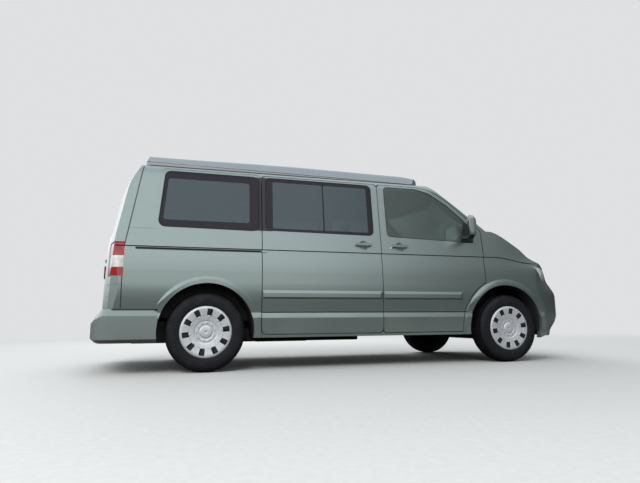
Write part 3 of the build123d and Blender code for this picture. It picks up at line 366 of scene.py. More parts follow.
def lid_nose(points):
    """The lid's height over its foot shrinks towards the front and a little towards the rear by cubic steps."""
    foot = LID_FOOT + LID_FRONT_RISE * edge_step(points[:, 0], *LID_RISE_RUN)
    drop = 1 - NOSE_DROP * edge_step(points[:, 0], NOSE_START, NOSE_END)
    drop *= 0.82 + 0.18 * edge_step(points[:, 0], -2.0, -0.4)
    points[:, 2] = np.where(points[:, 2] > foot, foot + (points[:, 2] - foot) * drop, points[:, 2])
    return points


reshaped("lid_skin", "roof_lid", lid_nose, lid_paint, "roof_lid", 0.004, 20, 0.12)


# Side, rear and front glass: toughened panes with a printed purple-black border.
# The rear panes are tinted; the sliding door's has a divider between its fixed and its sliding half.
FRIT = (0.010, 0.008, 0.015)


def frame_mask(across, up, low, high, low_up, high_up, radius, lean=0.0):
    """1 inside a rounded rectangle: the distance to it is the length of the parts beyond its inner corners.
    Its low edge leans by lean for each metre upwards."""
    beyond = (low + lean * (up - low_up) - across).over(across - high)
    above = (low_up - up).over(up - high_up)
    round_x, round_z = (beyond + radius).over(0.0), (above + radius).over(0.0)
    far = (round_x * round_x + round_z * round_z).root()
    return 1 - far.step(radius - 0.0015, radius + 0.0015)


def pane(name, tint, cover, mask_of=None):
    """Tinted glass, of which cover is the share that hides what is behind, with an opaque border outside the mask."""
    material, place = new_material(name)
    axes = place.axes()
    clear = place.principled({"Base Color": (*tint, 1), "Roughness": 0.0, "IOR": 1.5, "Transmission Weight": 1.0})
    veil = place.principled({
        "Base Color": tuple(channel * 0.55 for channel in tint) + (1,), "Roughness": 0.06, "Coat Weight": 1.0})
    surface = place.blended(cover, clear, veil)
    border = place.principled({"Base Color": (*FRIT, 1), "Roughness": 0.10, "Specular IOR Level": 0.35})
    if mask_of:
        mask = mask_of(*axes)
        surface = place.blended(mask, border, surface)
    place.close(surface)
    return material


def side_mask(x, y, z):
    """Clear parts of a side: the quarter pane and the two halves of the middle pane, as the largest of three masks."""
    quarter = frame_mask(x, z, -1.838, -1.100, 1.290, 1.668, 0.022, 0.085)
    fixed = frame_mask(x, z, -0.886, -0.409, 1.252, 1.700, 0.015)
    sliding = frame_mask(x, z, -0.395, 0.040, 1.252, 1.700, 0.015)
    return quarter.over(fixed).over(sliding)


def rear_mask(x, y, z):
    """Clear part of the rear pane, whose half width shrinks by 0.12 for each metre upwards."""
    return frame_mask(y.size() + 0.12 * (z - 1.19), z, -1.0, 0.655, 1.235, 1.650, 0.05)


def front_mask(x, y, z):
    """Clear part of the windscreen, whose half width shrinks by 0.21 for each metre upwards."""
    return frame_mask(y.size() + 0.21 * (z - 1.322), z, -1.0, 0.735, 1.365, 1.735, 0.05)


TINT = (0.13, 0.21, 0.25)
side_tint = pane("tinted side glass", TINT, 0.4, side_mask)
for name in ("side_glass", "sliding_door_glass"):
    dress(name, side_tint)
dress("tailgate_glass", pane("tinted rear glass", TINT, 0.3, rear_mask))
front_tint = pane("windscreen glass", (0.52, 0.61, 0.58), 0.10, front_mask)
reshaped("windscreen_pane", "windscreen", nose, front_tint, "body", 0.0)
door_tint = pane("door glass", (0.27, 0.34, 0.33), 0.30)
for name in ("door_glass_right", "door_glass_left"):
    dress(name, door_tint)


# Plastic, rubber and bare metal parts, each moulded or cast with its own grain.
# They hang below the body or lie in its openings.
def moulded(name, colour, roughness, metallic=0.0, scale=700.0, strength=0.15):
    """Grained plastic or cast metal."""
    material, place = new_material(name)
    grain = place.noise(scale, 3.0)
    wide = place.noise(6.0, 3.0)
    dull = tuple(channel * 0.75 for channel in colour)
    bump = grain.relief(strength, 0.0006)
    place.close({
        "Base Color": wide.step(0.3, 0.7).mix((*dull, 1), (*colour, 1)), "Metallic": metallic,
        "Roughness": roughness + 0.15 * (grain - 0.5), "Normal": bump})
    return material


black_plastic = moulded("black plastic", (0.025, 0.025, 0.027), 0.55)
dress("wheel_arch_liners", black_plastic, 0.0008)
for name in ("grille", "wipers"):
    reshaped(f"{name}_skin", name, nose, black_plastic, "body", 0.0008)
underseal = moulded("underseal", (0.035, 0.034, 0.032), 0.8, 0.0, 180.0, 0.4)
for name in ("floor_pan", "front_subframe", "rear_axle", "knuckle_right", "knuckle_left", "fuel_tank"):
    dress(name, underseal, 0.001)
dress("exhaust", moulded("rusty steel", (0.16, 0.11, 0.08), 0.6, 0.7, 60.0, 0.3), 0.001)
dress("engine_block", moulded("cast metal", (0.30, 0.30, 0.31), 0.5, 0.9, 120.0, 0.3), 0.002)
rubber = moulded("black rubber", (0.010, 0.010, 0.012), 0.66, 0.0, 400.0, 0.2)
dress("slide_rail", rubber, 0.0008)


# Window seals: extruded rubber lips pressed round every pane.
# Each follows the outer edge of its pane.
def outer_loops(node_name, outward):
    """The outer edges of a node's panes as closed rows of points, read from a joined copy of its mesh.
    An edge belongs to them where a face that looks along outward meets one that doesn't."""
    copy = joined_copy(node_name)
    ahead = {}
    for edge in copy.edges:
        if len(edge.link_faces) != 2:
            continue
        looks = [outward(np.array(face.calc_center_median()), np.array(face.normal)) for face in edge.link_faces]
        if looks[0] != looks[1]:
            for here, there in (edge.verts, reversed(edge.verts)):
                ahead.setdefault(here.index, []).append(there.index)
    places = {vertex.index: tuple(vertex.co) for vertex in copy.verts}
    copy.free()
    loops = []
    while ahead:
        loop, here = [], min(ahead)
        while here in ahead:
            loop.append(places[here])
            following = [index for index in ahead.pop(here) if index in ahead]
            if not following:
                break
            here = following[0]
        if len(loop) > 8:
            loops.append(np.array(loop))
    return loops


def swept(path, section, upward, around=False):
    """Grid of a section carried along a path: its first axis lies across the path, its second near upward.
    The section's points may differ from place to place, as places by points by two."""
    path = np.asarray(path, float)
    if around:
        along = np.roll(path, -1, 0) - np.roll(path, 1, 0)
    else:
        along = np.gradient(path, axis=0)
    along /= np.linalg.norm(along, axis=1, keepdims=True)
    upward = np.broadcast_to(np.asarray(upward, float), path.shape)
    across = np.cross(along, upward)
    across /= np.linalg.norm(across, axis=1, keepdims=True)
    upward = np.cross(across, along)
    section = np.broadcast_to(section, (len(path),) + np.shape(section)[-2:])
    return path[:, None] + section[..., :1] * across[:, None] + section[..., 1:] * upward[:, None]


def circle(count):
    """Angles round a full turn."""
    return np.linspace(0, 2 * np.pi, count, endpoint=False)


def squared(value, power):
    """A sine or cosine bent so that two of them run round a superellipse, squarer the higher the power."""
    return np.sign(value) * np.abs(value) ** (2 / power)


def rounded(half_width, half_height, power=4.0, count=16):
    """Section of a superellipse with these two half sizes."""
    angle = circle(count)
    return squared(np.stack([np.cos(angle), np.sin(angle)], -1), power) * (half_width, half_height)


def quads(rows, columns, around=False, closed=True):
    """Faces of a grid of points. With around the rows meet, with closed the columns meet."""
    index = np.arange(rows * columns).reshape(rows, columns)
    if around:
        index = np.vstack([index, index[:1]])
    if closed:
        index = np.hstack([index, index[:, :1]])
    return np.stack([index[:-1, :-1], index[1:, :-1], index[1:, 1:], index[:-1, 1:]], -1).reshape(-1, 4)


MERGE_DISTANCE = 0.000002


def faces_piece(name, points, faces, material, body, smooth=True):
    """A piece made of points and faces; doubled points are merged and the faces turned outwards."""
    mesh = bpy.data.meshes.new(name)
    mesh.from_pydata(points.tolist(), [], faces.tolist())
    shaped = bmesh.new()
    shaped.from_mesh(mesh)
    bmesh.ops.remove_doubles(shaped, verts=shaped.verts, dist=MERGE_DISTANCE)
    bmesh.ops.recalc_face_normals(shaped, faces=shaped.faces)
    shaped.to_mesh(mesh)
    shaped.free()
    mesh.polygons.foreach_set("use_smooth", np.full(len(mesh.polygons), smooth))
    return as_piece(name, mesh, material, body)


def grid_piece(name, points, material, body, around=False, closed=True, smooth=True):
    """A piece whose surface is a grid of points, rows by columns by three."""
    faces = quads(*points.shape[:2], around, closed)
    return faces_piece(name, points.reshape(-1, 3), faces, material, body, smooth)


def even(loop, spacing):
    """A closed row of points at even distances."""
    ring = np.vstack([loop, loop[:1]])
    length = np.concatenate([[0], np.cumsum(np.linalg.norm(np.diff(ring, axis=0), axis=1))])
    count = max(int(length[-1] / spacing), 8)
    marks = np.linspace(0, length[-1], count, endpoint=False)
    return np.stack([np.interp(marks, length, ring[:, axis]) for axis in range(3)], -1)


SEAL_STEP, SEAL_SECTION = 0.012, rounded(0.0042, 0.0024, 3.0, 8)
# For each side that panes look to: the test that a face looks out there, and the direction of the seal's height
to_side = (lambda middle, normal: normal[1] * np.sign(middle[1]) > 0.6, lambda middle: (0, np.sign(middle[1]), 0.12))
to_rear = (lambda middle, normal: normal[0] < -0.5, lambda middle: (-1, 0, 0.2))
to_front = (lambda middle, normal: normal[0] + normal[2] > 0.75, lambda middle: (0.6, 0, 0.8))
SEALED = {"side_glass": ("body", to_side), "sliding_door_glass": ("body", to_side),
          "door_glass_right": ("door_right", to_side), "door_glass_left": ("door_left", to_side),
          "tailgate_glass": ("tailgate", to_rear), "windscreen": ("body", to_front)}
for name, (body, (looks_out, height_of)) in SEALED.items():
    for number, loop in enumerate(outer_loops(name, looks_out)):
        ring = nose(even(loop, SEAL_STEP))
        grid = swept(ring, SEAL_SECTION, height_of(ring.mean(0)), True)
        grid_piece(f"seal_{name}_{number}", grid, rubber, body, True)


# Tyres: rubber moulded with four round grooves, blocks across them and ribs on the side walls.
# Each surface is its section turned about the axle, sunk where the tread pattern says.
AXLES = {"front": 1.545, "rear": -1.455}
TRACK_HALF = 0.814
TYRE_RADIUS = 0.336
PITCHES = 60
TREAD_HALF, CROWN_FALL = 0.086, 0.012
GROOVES, GROOVE_DEPTH = (0.0185, 0.0520), 0.0075
INNER_CUT, OUTER_CUT = 0.003, 0.0045
tyre_rubber, place = new_material("tyre rubber")
grain = place.noise(260.0, 3.0)
dirt = place.noise(14.0, 4.0)
bump = grain.relief(0.25, 0.0005)
place.close({
    "Base Color": dirt.step(0.45, 0.8).mix((0.005, 0.005, 0.008, 1), (0.015, 0.014, 0.015, 1)),
    "Roughness": 0.62 + 0.2 * (grain - 0.5), "Normal": bump})


def smooth_line(points, count):
    """Catmull-Rom curve: between two points a cubic leaves each with half the step between its neighbours."""
    points = np.asarray(points, float)
    ends = np.vstack([2 * points[0] - points[1], points, 2 * points[-1] - points[-2]])
    place = np.linspace(0, len(points) - 1, count)
    index = np.minimum(place.astype(int), len(points) - 2)
    share = (place - index)[:, None]
    before, first, second, after = (ends[index + step] for step in range(4))
    return first + 0.5 * share * (second - before + share * (
        2 * before - 5 * first + 4 * second - after + share * (3 * (first - second) + after - before)))


def tyre_grid(side):
    """Angle by section: the crown falls by the power 3.2 of the width, side walls are one smooth line to the bead."""
    wide = np.linspace(-TREAD_HALF, TREAD_HALF, 59)
    crown = np.stack([wide, TYRE_RADIUS - CROWN_FALL * (np.abs(wide) / TREAD_HALF) ** 3.2], -1)
    wall = smooth_line([(TREAD_HALF, 0.324), (0.0955, 0.309), (0.1015, 0.285), (0.1025, 0.255), (0.0985, 0.227),
                        (0.0885, 0.2035)], 19)[1:]
    section = np.concatenate([wall[::-1] * (-1, 1), crown, wall])
    angle = circle(PITCHES * 8)[:, None]
    across, radius = section[:, 0][None], section[:, 1][None]
    width = np.abs(across)
    inner, outer = GROOVES
    grooves = np.maximum(*(1 - edge_step(np.abs(width - middle), 0.0030, 0.0058) for middle in GROOVES))
    turn = angle * PITCHES / (2 * np.pi)
    rib = np.where(width < inner, 0.3 * np.sign(across), np.where(width < outer, 0.35, 0.0))
    phase = (turn + rib + across * np.where(width < outer, 22.0, 6.0)) % 1.0
    cut = 1 - edge_step(np.abs(phase - 0.5), 0.07, 0.15)
    on_tread = (1 - edge_step(width, 0.0965, 0.0985)) * (radius > 0.304)
    depth = np.maximum(grooves * GROOVE_DEPTH * (radius > 0.32),
                       cut * on_tread * np.where(width < inner, INNER_CUT, OUTER_CUT))
    ribs = 0.0010 * np.exp(-((radius - 0.296) / 0.0022) ** 2) + 0.0012 * np.exp(-((radius - 0.232) / 0.0025) ** 2)
    radius = radius - depth + 0 * angle
    across = across * side + np.sign(across) * side * ribs * (radius < 0.31) + 0 * angle
    return np.stack([radius * np.cos(angle), across, radius * np.sin(angle)], -1)


SIDES = {"right": -1, "left": 1}
for end, axle_x in AXLES.items():
    for side, sign in SIDES.items():
        grid = tyre_grid(sign) + (axle_x, sign * TRACK_HALF, TYRE_RADIUS)
        tyre = grid_piece(f"tread_{end}_{side}", grid, tyre_rubber, f"wheel_{end}_{side}", True)
        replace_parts(tyre, f"tyre_{end}_{side}")


# Wheel covers: silver moulded covers with ten deep windows, clipped over steel rims, with patches of dust.
# Each is a face of rings and spokes whose windows are sunk to a black floor.
COVER_COUNT = 10
COVER_PHASE = {"front": math.radians(-9.0), "rear": math.radians(-10.0)}
WINDOW_LOW, WINDOW_HIGH, WINDOW_HALF, WINDOW_WALL = 0.1405, 0.1980, 0.0225, 0.0012
COVER_FLOOR, COVER_SUNK = 0.0905, 0.1018
cover_silver, place = new_material("silver cover")
flakes = place.noise(1800.0, 1.0)
dirt = place.noise(22.0, 5.0)
base = flakes.step(0.35, 0.65).mix((0.70, 0.72, 0.76, 1), (0.80, 0.82, 0.86, 1))
base = (0.45 * dirt.step(0.5, 0.8)).mix(base, (0.30, 0.28, 0.26, 1))
place.close({"Base Color": base, "Metallic": 0.55, "Roughness": 0.34 + 0.25 * dirt.step(0.4, 0.8), "Coat Weight": 0.4})
black_steel = moulded("black rim steel", (0.020, 0.020, 0.022), 0.55, 0.2, 300.0, 0.1)


def cover_grid(phase):
    """Rings by spokes, whose height follows a smooth line over the radius and sinks to a floor in the windows. A
    window's half width is the superellipse of power 7 along it, but no less than three quarters of its widest."""
    profile = smooth_line([(0.0, 0.0993), (0.030, 0.0988), (0.046, 0.0975), (0.052, 0.0940), (0.056, 0.0925),
                           (0.060, 0.0935), (0.068, 0.0950), (0.082, 0.0950), (0.091, 0.0945), (0.095, 0.0952),
                           (0.099, 0.0970), (0.110, 0.0985), (0.125, 0.1000), (0.1455, 0.1022), (0.170, 0.1045),
                           (0.190, 0.1062), (0.203, 0.1062), (0.2120, 0.1040), (0.2165, 0.1005), (0.2185, 0.0955)], 90)
    radius = np.concatenate([
        [0.001, 0.015, 0.030, 0.040, 0.046, 0.0485, 0.051, 0.0535, 0.056, 0.058, 0.060, 0.064, 0.070, 0.076, 0.082,
         0.088, 0.091, 0.0925, 0.095, 0.0975, 0.099, 0.104, 0.110, 0.118, 0.126, 0.134, 0.138],
        [WINDOW_LOW, WINDOW_LOW + WINDOW_WALL], np.linspace(WINDOW_LOW + 0.004, WINDOW_HIGH - 0.004, 15),
        [WINDOW_HIGH - WINDOW_WALL, WINDOW_HIGH],
        [0.2005, 0.204, 0.208, 0.211, 0.2135, 0.2155, 0.2170, 0.2180, 0.2185]])[:, None]
    middle, half = (WINDOW_LOW + WINDOW_HIGH) / 2, (WINDOW_HIGH - WINDOW_LOW) / 2
    along = np.clip(np.abs(radius - middle) / half, 0, 1)
    taper = 1 + 0.10 * (radius - middle) / half
    half_width = WINDOW_HALF * taper * np.maximum((1 - along ** 7) ** (1 / 7), 0.75)
    half_angle = np.minimum(half_width / np.maximum(radius, 0.06), np.pi / COVER_COUNT * 0.6)
    wall_angle = WINDOW_WALL / np.maximum(radius, 0.06)
    sector = np.pi / COVER_COUNT
    positive = np.concatenate([half_angle * 0, (half_angle - wall_angle) * 0.5, half_angle - wall_angle,
                               half_angle + (sector - half_angle) * np.linspace(0, 0.75, 4)], 1)
    turn = np.concatenate([-positive[:, :0:-1], positive], 1)
    edge = np.concatenate([-np.full_like(radius, sector), turn], 1)
    columns = edge.shape[1]
    in_window = (np.arange(columns) >= 5) & (np.arange(columns) <= columns - 5)
    along_window = np.abs(radius[:, 0] - middle) < half - 0.5 * WINDOW_WALL
    height = np.interp(radius, profile[:, 0], profile[:, 1]) + 0 * edge
    height[np.ix_(along_window, in_window)] = COVER_FLOOR
    angle = np.concatenate([edge + phase + 2 * sector * number for number in range(COVER_COUNT)], 1)
    height = np.tile(height, COVER_COUNT)
    return radius + 0 * angle, angle, height


def superellipsoid(rows, columns, power):
    """Its two places across and its latitude: each sine and cosine is bent, so it is squarer the higher the power."""
    lat = np.linspace(-np.pi / 2, np.pi / 2, rows)[:, None]
    lon = circle(columns)[None]
    waist = squared(np.cos(lat), power)
    return waist * squared(np.cos(lon), power), waist * squared(np.sin(lon), power), lat + 0 * lon


def tilted(points, angle):
    """Points turned about Y, from X towards Z."""
    cos, sin = np.cos(angle), np.sin(angle)
    x, y, z = np.moveaxis(points, -1, 0)
    return np.stack([x * cos - z * sin, y + 0 * cos, x * sin + z * cos], -1)


def give_wall(piece, thickness):
    """Thickness inwards for an open surface."""
    piece.modifiers.new("wall", "SOLIDIFY").thickness = thickness


def pebbles(centres, turns, half, power):
    """Like rounded studs: each is a superellipsoid of these half sizes, tilted and set at its centre."""
    across, upward, lat = superellipsoid(9, 16, power)
    shape = np.stack([across, squared(np.sin(lat), power), upward], -1) * half
    placed = tilted(shape, turns[:, None, None]) + centres[:, None, None]
    faces = quads(9, 16)[None] + np.arange(len(centres))[:, None, None] * across.size
    return placed.reshape(-1, 3), faces.reshape(-1, 4)


for end, axle_x in AXLES.items():
    for side, sign in SIDES.items():
        dress(f"rim_{end}_{side}", black_steel, 0.0015)
        hub = np.array((axle_x, sign * TRACK_HALF, TYRE_RADIUS))
        radius, angle, height = cover_grid(np.pi / 2 + COVER_PHASE[end])
        grid = np.stack([radius * np.cos(angle), sign * height, radius * np.sin(angle)], -1) + hub
        cover = grid_piece(f"cover_{end}_{side}", grid, cover_silver, f"wheel_{end}_{side}")
        cover.data.materials.append(black_steel)
        for face in cover.data.polygons:
            out = Vector((face.center.x - hub[0], face.center.z - hub[2])).length
            face.material_index = int(WINDOW_LOW < out < WINDOW_HIGH and abs(face.center.y) < TRACK_HALF + COVER_SUNK)
        cover.data.set_sharp_from_angle(angle=math.radians(35))
        give_wall(cover, 0.0015)
        turns = np.pi / 2 + COVER_PHASE[end] + np.arange(COVER_COUNT) * 2 * np.pi / COVER_COUNT
        for kind, far, half, lift, power, finish in (
                ("ramps", 0.1345, (0.0070, 0.0048, 0.0125), 0.1010, 4.0, cover_silver),
                ("studs", 0.0755, (0.0042, 0.0035, 0.0042), 0.0945, 2.0, black_steel)):
            centres = hub + np.stack([far * np.cos(turns), np.full(COVER_COUNT, sign * lift), far * np.sin(turns)], -1)
            points, faces = pebbles(centres, turns, half, power)
            faces_piece(f"cover_{kind}_{end}_{side}", points, faces, finish, f"wheel_{end}_{side}")


# Tail lamps: red and clear plastic lenses with fine upright flutes over their reflectors.
# The middle third is clear for the indicator and the reversing light.
CLEAR_MIDDLE, CLEAR_HALF = 0.9175, 0.0505
lens, place = new_material("tail lens")
x, y, z = place.axes()
clear = z.band(CLEAR_MIDDLE, CLEAR_HALF, 0.0012)
edges = z.band(CLEAR_MIDDLE + CLEAR_HALF, 0.0022).over(z.band(CLEAR_MIDDLE - CLEAR_HALF, 0.0022))
flute = (y * 620.0).wave() + (x * 620.0).wave()
wide = place.noise(18.0, 2.0)
red = wide.step(0.3, 0.7).mix((0.22, 0.002, 0.004, 1), (0.46, 0.008, 0.010, 1))
white = wide.step(0.3, 0.7).mix((0.46, 0.44, 0.41, 1), (0.80, 0.78, 0.74, 1))
base = edges.mix(clear.mix(red, white), (0.10, 0.01, 0.012, 1))
bump = flute.relief(0.22, 0.001)
place.close({"Base Color": base, "Roughness": 0.16, "Coat Weight": 1.0, "Coat Roughness": 0.02, "Normal": bump})
dress("tail_lamps", lens, 0.002)


# Headlamps: a clear lens over a bright housing with two round reflectors and an amber indicator.
# The lens is the front skin of the lamp's solid, with a pale opaque share towards its outer end that is painted
# reflection; the housing is the rest of it.
lamp_lens, place = new_material("headlamp lens")
haze = place.noise(30.0, 2.0)
clear = place.principled({
    "Base Color": (0.97, 0.98, 0.98, 1), "Roughness": 0.02 + 0.03 * haze, "IOR": 1.45, "Transmission Weight": 1.0})
# Painted reflection: a pale opaque surface mixed into the lens towards its outer end
painted_sheen = place.principled({"Base Color": (0.80, 0.82, 0.80, 1), "Roughness": 0.15})
place.close(place.blended(0.55 * place.axes()[1].size().step(0.79, 0.86), clear, painted_sheen))
chrome, place = new_material("lamp reflector")
ripple = place.noise(70.0, 1.0)
place.close({
    "Base Color": ripple.step(0.3, 0.7).mix((0.62, 0.63, 0.65, 1), (0.80, 0.81, 0.82, 1)), "Metallic": 1.0,
    "Roughness": 0.12 + 0.05 * ripple})
dark_chrome = moulded("lamp housing", (0.70, 0.71, 0.72), 0.3, 0.15, 300.0, 0.05)
amber, place = new_material("amber lens")
flute = (place.axes()[2] * 900.0).wave()
bump = flute.relief(0.2, 0.001)
place.close({
    "Base Color": flute.step(-1.0, 1.0).mix((0.62, 0.20, 0.02, 1), (0.80, 0.30, 0.03, 1)), "Roughness": 0.2,
    "Coat Weight": 1.0, "Normal": bump})


def lamp_part(name, keep, material, thickness):
    """A bent copy of the headlamps' faces that keep chooses by middle and normal, with a thickness inwards."""
    shaped = joined_copy("headlamps")
    gone = [face for face in shaped.faces if not keep(face.calc_center_median(), face.normal)]
    bmesh.ops.delete(shaped, geom=gone, context="FACES")
    mesh = smooth_mesh(name, shaped)
    move_points(mesh, nose)
    piece = as_piece(name, mesh, material, "body")
    give_wall(piece, thickness)
    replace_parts(piece, "headlamps")


def looks_forward(middle, normal):
    """True for a face within 65 degrees of forwards, 37 degrees outwards and a little up."""
    side = 1 if middle.y > 0 else -1
    return normal.dot(Vector((0.78, side * 0.58, 0.24))) > 0.42


lamp_part("headlamp_lenses", looks_forward, lamp_lens, 0.003)
lamp_part("headlamp_housings", lambda middle, normal: not looks_forward(middle, normal), dark_chrome, 0.0015)


surfaces = {}


def put_on(node_name, origin, direction):
    """The point of a CAD node's surface that a line from origin first meets, and the surface's normal there."""
    if node_name not in surfaces:
        mesh = nodes[node_name].data
        surfaces[node_name] = BVHTree.FromPolygons([vertex.co for vertex in mesh.vertices],
                                                   [face.vertices for face in mesh.polygons])
    point, normal, _, _ = surfaces[node_name].ray_cast(Vector(origin), Vector(direction).normalized())
    if point is None:
        raise RuntimeError(f"no surface of {node_name} on the line from {origin}")
    return np.array(point), np.array(normal)


def facing(normal):
    """Two axes across a direction, the second of them upwards, and the direction itself at length 1."""
    normal = np.asarray(normal, float) / np.linalg.norm(normal)
    across = np.cross((0, 0, 1.0), normal)
    across /= np.linalg.norm(across)
    return across, np.cross(normal, across), normal


def dish(centre, normal, radius, depth):
    """Reflector bowl: a paraboloid of this depth with a rim 4 mm wide; rows run from its middle outwards."""
    across, upward, normal = facing(normal)
    reach = np.linspace(0, 1, 14)[:, None, None]
    angle = circle(48)[:, None]
    spoke = np.cos(angle) * across + np.sin(angle) * upward
    rows = centre + radius * reach * spoke + depth * (reach ** 2 - 1) * normal
    lip = centre + (radius + 0.004) * spoke - 0.3 * depth * normal
    return np.concatenate([rows, lip[None]])


def dome(centre, normal, half_width, half_height, height, power=2.0, thickness=0.002):
    """Low cushion shape, closed at its back: its outline is a superellipse, its height falls by the square."""
    across, upward, normal = facing(normal)
    reach = np.concatenate([np.linspace(0, 1, 12), [1.0, 0.0]])[:, None, None]
    angle = circle(48)[:, None]
    rise = height * (1 - reach ** 2)
    rise[-2:] = -thickness
    wide = half_width * reach * squared(np.cos(angle), power)
    tall = half_height * reach * squared(np.sin(angle), power)
    return np.asarray(centre) + wide * across + tall * upward + rise * normal


for side, sign in SIDES.items():
    for part, (across, height, radius, depth) in {"main": (0.62, 0.862, 0.060, 0.030),
                                                  "dip": (0.775, 0.878, 0.052, 0.028)}.items():
        point, normal = put_on("headlamps", (3.0, sign * across, height), (-1, 0, 0))
        face = np.array([normal[0], normal[1], normal[2] * 0.4])
        centre = nose(point[None])[0] - 0.013 * normal
        bowl = dish(centre, face, radius, depth)
        give_wall(grid_piece(f"lamp_bowl_{part}_{side}", bowl, chrome, "body"), 0.001)
        bulb = dome(centre - 0.6 * depth * face, face, 0.013, 0.013, 0.016)
        grid_piece(f"lamp_bulb_{part}_{side}", bulb, chrome, "body")
    point, normal = put_on("headlamps", (2.02, sign * 2.0, 0.90), (0, -sign, 0))
    bulb = dome(nose(point[None])[0] - 0.016 * normal, normal, 0.034, 0.030, 0.006, 3.0)
    grid_piece(f"indicator_{side}", bulb, amber, "body")


# Outside mirrors: a painted head that leans back, with a flat mirror set in its rear face.
# Its foot and the sail on the door that carries it are grained black plastic.
MIRROR_LEAN, MIRROR_OUTER = 0.46, 1.142
MIRROR_GLASS = (1.0080, 1.058, 1.332)
mirror_paint, place = new_material("mirror cap")
x, y, z = place.axes()
grain = place.noise(700.0, 2.0)
flakes = place.noise(1400.0, 1.0)
black = (1 - y.size().step(0.972, 0.974)).over(1 - z.step(1.238, 1.240))
paint_base = flakes.step(0.38, 0.62).mix((0.340, 0.400, 0.385, 1), (0.400, 0.465, 0.450, 1))
bump = (grain * black).relief(0.1, 0.0004)
place.close({
    "Base Color": black.mix(paint_base, (0.018, 0.018, 0.020, 1)), "Metallic": 0.6 * (1 - black),
    "Roughness": 0.34 + 0.22 * black, "Coat Weight": 1 - black, "Normal": bump})
looking_glass, place = new_material("looking glass")
haze = place.noise(9.0, 2.0)
place.close({
    "Base Color": haze.step(0.2, 0.8).mix((0.78, 0.81, 0.82, 1), (0.86, 0.88, 0.89, 1)), "Metallic": 1.0,
    "Roughness": 0.02 + 0.02 * haze})


def lean_back(points):
    """The head's inner edge moves forwards: X grows by the lean for each metre from the outer edge."""
    inward = MIRROR_OUTER - np.abs(points[:, 1])
    points[:, 0] += 0.006 + MIRROR_LEAN * inward * edge_step(np.abs(points[:, 1]), 0.925, 0.975)
    return points


for side, sign in SIDES.items():
    reshaped(f"mirror_head_{side}", f"mirror_{side}", lean_back, mirror_paint, "door_" + side, 0.002)
    centre_x, centre_y, centre_z = MIRROR_GLASS
    centre = (centre_x + MIRROR_LEAN * (MIRROR_OUTER - centre_y), sign * centre_y, centre_z)
    glass = dome(centre, (-1, -sign * MIRROR_LEAN, 0), 0.068, 0.090, 0.0012, 5.0)
    grid_piece(f"mirror_glass_{side}", glass, looking_glass, "door_" + side)


# Number plates: blank reflective plates in black holders, screwed to the tailgate and the front bumper.
# They carry no characters.
def plate(name, node_name, origin, direction, material, body):
    """A plate 520 by 110 mm whose grid follows a superellipse of power 14, on a black holder 6 mm deep."""
    point, normal = put_on(node_name, origin, direction)
    outward = -np.asarray(direction, float)
    sheet = dome(point + 0.013 * outward, outward, 0.260, 0.055, 0.0006, 14.0)
    grid_piece(name, sheet, material, body, smooth=False)
    holder = dome(point + 0.0105 * outward, outward, 0.266, 0.061, 0.0006, 14.0, 0.018)
    grid_piece(name + "_holder", holder, black_plastic, body, smooth=False)


plate_white, place = new_material("blank plate")
cells = place.node("TexVoronoi", None, {"Vector": place, "Scale": 900.0})
place.close({
    "Base Color": cells.step(0.2, 0.6).mix((0.60, 0.60, 0.58, 1), (0.68, 0.68, 0.66, 1)), "Roughness": 0.3,
    "Coat Weight": 0.5})
plate("rear_plate", "tailgate", (-3.0, 0, 0.885), (1, 0, 0), plate_white, "tailgate")
plate("front_plate", "front_bumper", (3.0, 0, 0.560), (-1, 0, 0), plate_white, "body")


# Tailgate fittings: a grip bar over the plate, a wiper on the glass and a raised brake light.
# The wiper's arm and blade are bent steel and rubber, swept along the pane.
def bar(name, path, section, material, body, upward=(0, 0, 1), smooth=True):
    """A section swept along a path, with its two ends drawn together at their middles."""
    grid = swept(path, section, upward)
    first, last = (np.broadcast_to(end.mean(1, keepdims=True), end.shape) for end in (grid[:1], grid[-1:]))
    return grid_piece(name, np.concatenate([first, grid, last]), material, body, smooth=smooth)


def along_gate(points, node_name, lift):
    """Points in Y and Z put on the tailgate's glass or panel and lifted off it."""
    places = [put_on(node_name, (-3.0, across, height), (1, 0, 0)) for across, height in points]
    return np.array([point + lift * normal for point, normal in places])


WIPER_Y, WIPER_Z, WIPER_REACH, WIPER_BEND = 0.02, 1.240, 0.54, 0.035
grip = along_gate([(across, 0.992) for across in np.linspace(-0.30, 0.30, 25)], "tailgate", 0.006)
taper = np.sin(np.linspace(0, np.pi, 25)) ** 0.25
section = rounded(0.010, 0.017, 3.0) * (0.25 + 0.75 * taper)[:, None, None]
bar("gate_grip", grip, section, black_plastic, "tailgate")
arm = along_gate([(WIPER_Y + WIPER_REACH * share, WIPER_Z + WIPER_BEND * math.sin(share * 2.6))
                  for share in np.linspace(0, 1, 30)], "tailgate_glass", 0.020)
section = rounded(1.0, 1.0, 3.0) * np.linspace(0.014, 0.006, 30)[:, None, None] * (0.5, 1.0)
bar("rear_wiper_arm", arm, section, black_plastic, "tailgate")
blade = along_gate([(0.22 + 0.36 * share, 1.262) for share in np.linspace(0, 1, 24)], "tailgate_glass", 0.008)
bar("rear_wiper_blade", blade, rounded(0.0065, 0.006, 2.0), rubber, "tailgate")
point, normal = put_on("tailgate_glass", (-3.0, WIPER_Y, WIPER_Z), (1, 0, 0))
pivot = dome(point + 0.004 * normal, normal, 0.026, 0.026, 0.022, 2.6)
grid_piece("rear_wiper_pivot", pivot, black_plastic, "tailgate")
point, normal = put_on("tailgate", (-3.0, 0, 1.745), (1, 0, 0))
grid_piece("high_brake_light", dome(point, normal, 0.14, 0.011, 0.006, 8.0), lens, "tailgate")


